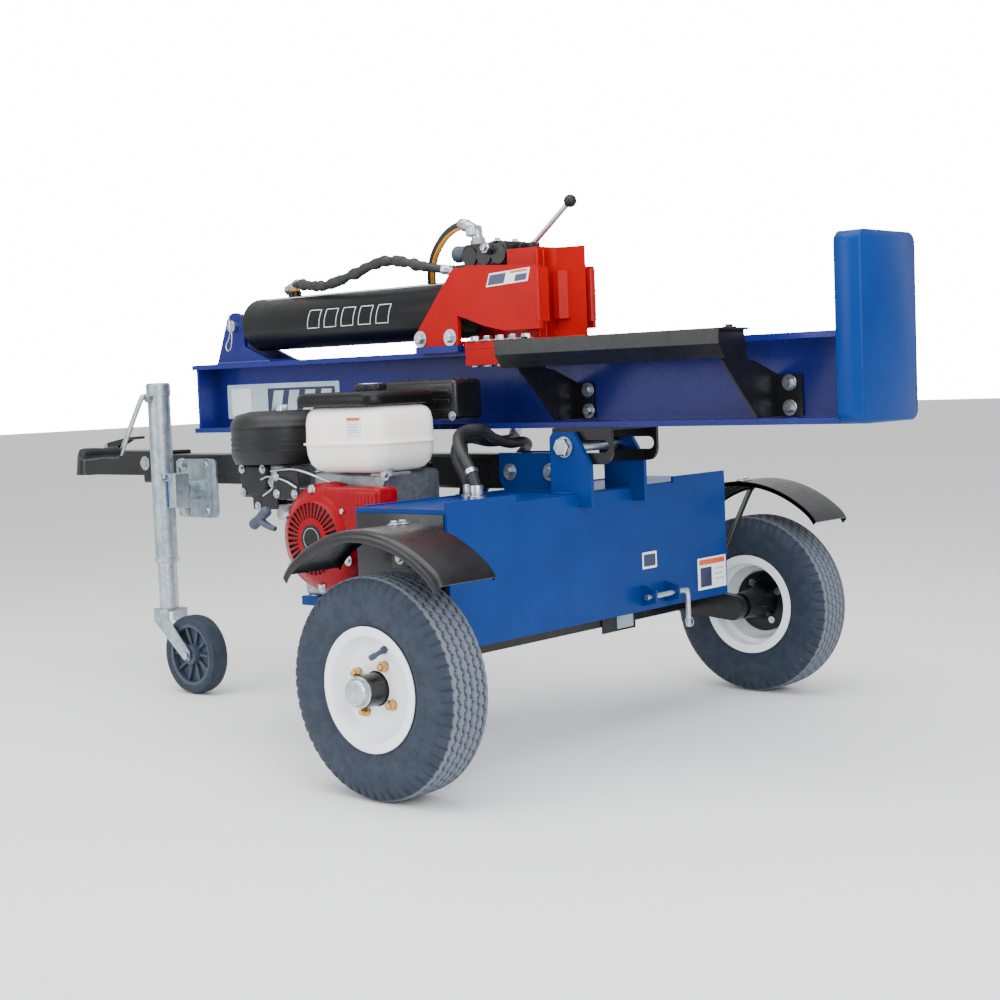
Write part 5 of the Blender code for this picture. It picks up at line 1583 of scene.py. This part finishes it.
def makePump():
    body = "chassis"
    x, z = engine["x"], engine["z"]
    block = [
        roundBox(at(-0.450, -0.047, z - 0.046), at(-0.364, 0.070, z + 0.046), 0.006),
        roundBox(at(-0.440, 0.069, z - 0.040), at(-0.374, 0.0878, z + 0.040), 0.004)
    ]
    block.append(
        lathe(
            [(0.0, 0.0), (0.018, 0.0), (0.018, 0.012), (0.0, 0.012)], at(-0.422, 0.052, z + 0.0455),
            (0, 0, 1), 32
        )
    )
    piece("pumpCase", block, "castAluminium", body, ("hydraulic_pump",), 35)
    spots = [at(x - 0.003 + a * 0.028, 0.0880, z + b * 0.033) for a in (-1, 1) for b in (-1, 1)]
    bolts("pumpBolts", spots, (0, 1, 0), 0.013, 0.007, body, washer=False)
    ribs = [
        sweep(
            np.array(
                [
                    at(x + 0.049 * math.cos(t), -0.130, z + 0.049 * math.sin(t)),
                    at(x + 0.052 * math.cos(t), -0.060, z + 0.052 * math.sin(t))
                ]
            ), 0.003, 8
        )
        for t in np.radians(np.arange(22, 382, 45))
    ]
    piece("bellRibs", ribs, "castAluminium", body)


makeEngine()
makePump()
print("engine made")

# ---- jack, crank and caster

jack = dict(x=-1.305, y=-0.125, r=0.0285, low=0.331, high=0.791, crank=0.754)


def makeJack():
    j = jack
    r = j["r"]
    outer = [
        (r - 0.0028, j["low"]), (r, j["low"]), (r, j["low"] + 0.002), (r, j["high"] - 0.034),
        (r + 0.0022, j["high"] - 0.033), (r + 0.0022, j["high"] - 0.004), (r - 0.002, j["high"]),
        (0.0, j["high"]), (0.0, j["high"] - 0.004), (r - 0.0028, j["high"] - 0.006), (r - 0.0028, j["low"])
    ]
    shapes = [lathe(outer, at(j["x"], j["y"], 0), (0, 0, 1), 64)]
    shapes.append(roundBox(at(j["x"] + r - 0.003, -0.1345, 0.4705), at(-1.2445, -0.0868, 0.5595), 0.004))
    boss = [(0.0, 0.0), (0.012, 0.0), (0.012, 0.0095), (0.0, 0.0105)]
    shapes.append(lathe(boss, at(j["x"], j["y"] - r, j["crank"]), (0, -1, 0), 32))
    piece("jackSleeve", shapes, "galvanised", "jack_tube", ("jack_outer_tube",), 35)
    weld(
        "swivelWeld", [at(j["x"] + r + 0.0005, -0.1355, 0.474), at(j["x"] + r + 0.0005, -0.1355, 0.556)],
        0.0026, "jack_tube"
    )
    pull = [
        at(-1.262, -0.136, 0.545), at(-1.262, -0.158, 0.545), at(-1.262, -0.163, 0.549),
        at(-1.262, -0.164, 0.560)
    ]
    piece("swivelPull", [sweep(smoothPath(pull, 30), 0.0042, 16)], "zincPlate", "jack_tube")
    inner = [(0.0215, 0.2126), (0.0247, 0.2126), (0.0247, 0.5600), (0.0215, 0.5600)]
    piece(
        "jackRam", [lathe(hollow(inner), at(j["x"], j["y"], 0), (0, 0, 1), 56)], "zincPlate", "jack_leg",
        ("jack_inner_tube",), 40
    )
    dust = [(r, 0.0), (r + 0.003, 0.001), (r + 0.003, 0.010), (r, 0.011)]
    piece(
        "dustCollar", [lathe(hollow(dust), at(j["x"], j["y"], j["low"] + 0.002), (0, 0, 1), 48)], "zincPlate",
        "jack_tube"
    )
    # crank: bent bar and a grip turned with a waist
    arm = [
        (-1.305, -0.1545, 0.754), (-1.305, -0.170, 0.754), (-1.311, -0.178, 0.746), (-1.391, -0.1815, 0.626),
        (-1.397, -0.1860, 0.618), (-1.397, -0.192, 0.618)
    ]
    crank = [sweep(smoothPath([at(*p) for p in arm], 70), 0.0066, 20)]
    piece("crankBar", crank, "zincPlate", "jack_handle", ("jack_crank",), 40)
    low = at(-1.397, -0.1922, 0.618)
    grip = [
        (0.0, 0.0), (0.0125, 0.0), (0.0150, 0.004), (0.0157, 0.014), (0.0135, 0.034), (0.0132, 0.050),
        (0.0152, 0.082), (0.0158, 0.100), (0.0140, 0.111), (0.0080, 0.1145), (0.0, 0.1147)
    ]
    piece("crankGrip", [lathe(grip, low, (0, -1, 0), 48)], "mouldedBlack", "jack_handle")
    bolts(
        "jackPlateBolts", [at(x, -0.0447, z) for x in (-1.322, -1.222) for z in (0.456, 0.577)], (0, -1, 0),
        0.017, 0.009, "chassis"
    )


def makeCaster():
    """Tread and hub are turned; the web has eight spokes between two rings."""
    centre, body = at(-1.205, -0.125, 0.100), "caster_roller"
    tread = [
        (0.078, -0.022), (0.090, -0.0245), (0.0965, -0.0215), (0.0995, -0.012), (0.0999, 0.0),
        (0.0995, 0.012), (0.0965, 0.0215), (0.090, 0.0245), (0.078, 0.022), (0.076, 0.0)
    ]
    piece(
        "casterTread", [lathe(hollow(tread), centre, (0, 1, 0), 96)], "vulcanisedRubber", body,
        ("caster_wheel",), 40
    )
    ringOuter = [(0.070, -0.019), (0.0785, -0.0215), (0.0785, 0.0215), (0.070, 0.019)]
    ringInner = [
        (0.0066, -0.0240), (0.024, -0.0240), (0.027, -0.014), (0.027, 0.014), (0.024, 0.0240),
        (0.0066, 0.0240)
    ]
    shapes = [
        lathe(hollow(ringOuter), centre, (0, 1, 0), 96), lathe(hollow(ringInner), centre, (0, 1, 0), 64)
    ]
    web = [(0.0255, -0.0030), (0.072, -0.0030), (0.072, 0.0030), (0.0255, 0.0030)]
    shapes.append(lathe(hollow(web), centre, (0, 1, 0), 72))
    for k in range(10):
        t = 2 * math.pi * k / 10
        direction = np.array([math.cos(t), 0, math.sin(t)])
        for side in (-1, 1):
            ends = [centre + direction * r + (0, side * y, 0) for r, y in ((0.025, 0.008), (0.0715, 0.010))]
            shapes.append(sweep(ends, 0.0042, 10))
    piece("casterCore", shapes, "blueGreyPlastic", body)
    axle = [(0.0, -0.0375), (0.0060, -0.0375), (0.0060, 0.0375), (0.0, 0.0375)]
    shapes = [lathe(axle, centre, (0, 1, 0), 24)]
    for side in (-1, 1):
        shapes += hexHead(centre + np.array([0, side * 0.0312, 0]), (0, side, 0), 0.019, 0.008, False)
    piece("casterAxle", shapes, "zincPlate", "caster_frame")


makeJack()
makeCaster()
print("jack and caster made")

# ---- stage: pale floor, soft light, camera

bpy.ops.mesh.primitive_plane_add(size=60, location=(0, 0, -0.0005))
floor = bpy.context.object
floor.name = "floor"
floorLook = bpy.data.materials.new("paleFloor")
floorLook.use_nodes = True
floorLook.node_tree.nodes["Principled BSDF"].inputs["Base Color"].default_value = linear("#f4f5f6")
floorLook.node_tree.nodes["Principled BSDF"].inputs["Roughness"].default_value = 0.6
floor.data.materials.append(floorLook)

world = bpy.data.worlds.new("studio")
bpy.context.scene.world = world
world.use_nodes = True
world.node_tree.nodes["Background"].inputs["Color"].default_value = (1.0, 1.0, 1.0, 1.0)
world.node_tree.nodes["Background"].inputs["Strength"].default_value = 0.95

# what the camera sees of the backdrop is brighter than what lights the object
tree = world.node_tree
seen = addNode(tree, "ShaderNodeBackground", {"Color": (1.0, 1.0, 1.0, 1.0), "Strength": 16.0})
lightPath = addNode(tree, "ShaderNodeLightPath")
choose = addNode(
    tree, "ShaderNodeMixShader",
    links={0: (lightPath, "Is Camera Ray"), 1: (tree.nodes["Background"], 0), 2: (seen, 0)}
)
tree.links.new(choose.outputs[0], tree.nodes["World Output"].inputs["Surface"])


def softLight(name, place, aim, size, power):
    data = bpy.data.lights.new(name, "AREA")
    data.shape = "RECTANGLE"
    data.size, data.size_y = size
    data.energy = power
    lamp = bpy.data.objects.new(name, data)
    bpy.context.scene.collection.objects.link(lamp)
    lamp.location = place
    lamp.rotation_euler = (Vector(aim) - Vector(place)).to_track_quat("-Z", "Y").to_euler()


softLight("overhead", (0.4, -0.8, 3.4), (0.0, 0.0, 0.5), (4.0, 3.0), 150)
softLight("frontRight", (3.6, -2.0, 2.0), (0.2, 0.0, 0.6), (2.4, 2.4), 120)
softLight("frontLeft", (-1.6, -3.8, 1.8), (0.0, 0.0, 0.6), (2.4, 2.0), 62)

# the camera sits low off the foot plate's corner and looks along the beam's near side
camera = dict(
    place=(2.2108, -2.7963, 0.7638), right=(0.75008, 0.66017, -0.03922), up=(-0.01738, 0.07896, 0.99671),
    look=(-0.66110, 0.74695, -0.07070), lens=60.82
)
cameraData = bpy.data.cameras.new("camera")
cameraData.lens = camera["lens"]
cameraData.sensor_width = 36.0
cameraObject = bpy.data.objects.new("camera", cameraData)
bpy.context.scene.collection.objects.link(cameraObject)
cameraFrame = Matrix((camera["right"], camera["up"], [-c for c in camera["look"]])).transposed().to_4x4()
cameraFrame.translation = Vector(at(*camera["place"]))
cameraObject.matrix_world = cameraFrame
bpy.context.scene.camera = cameraObject
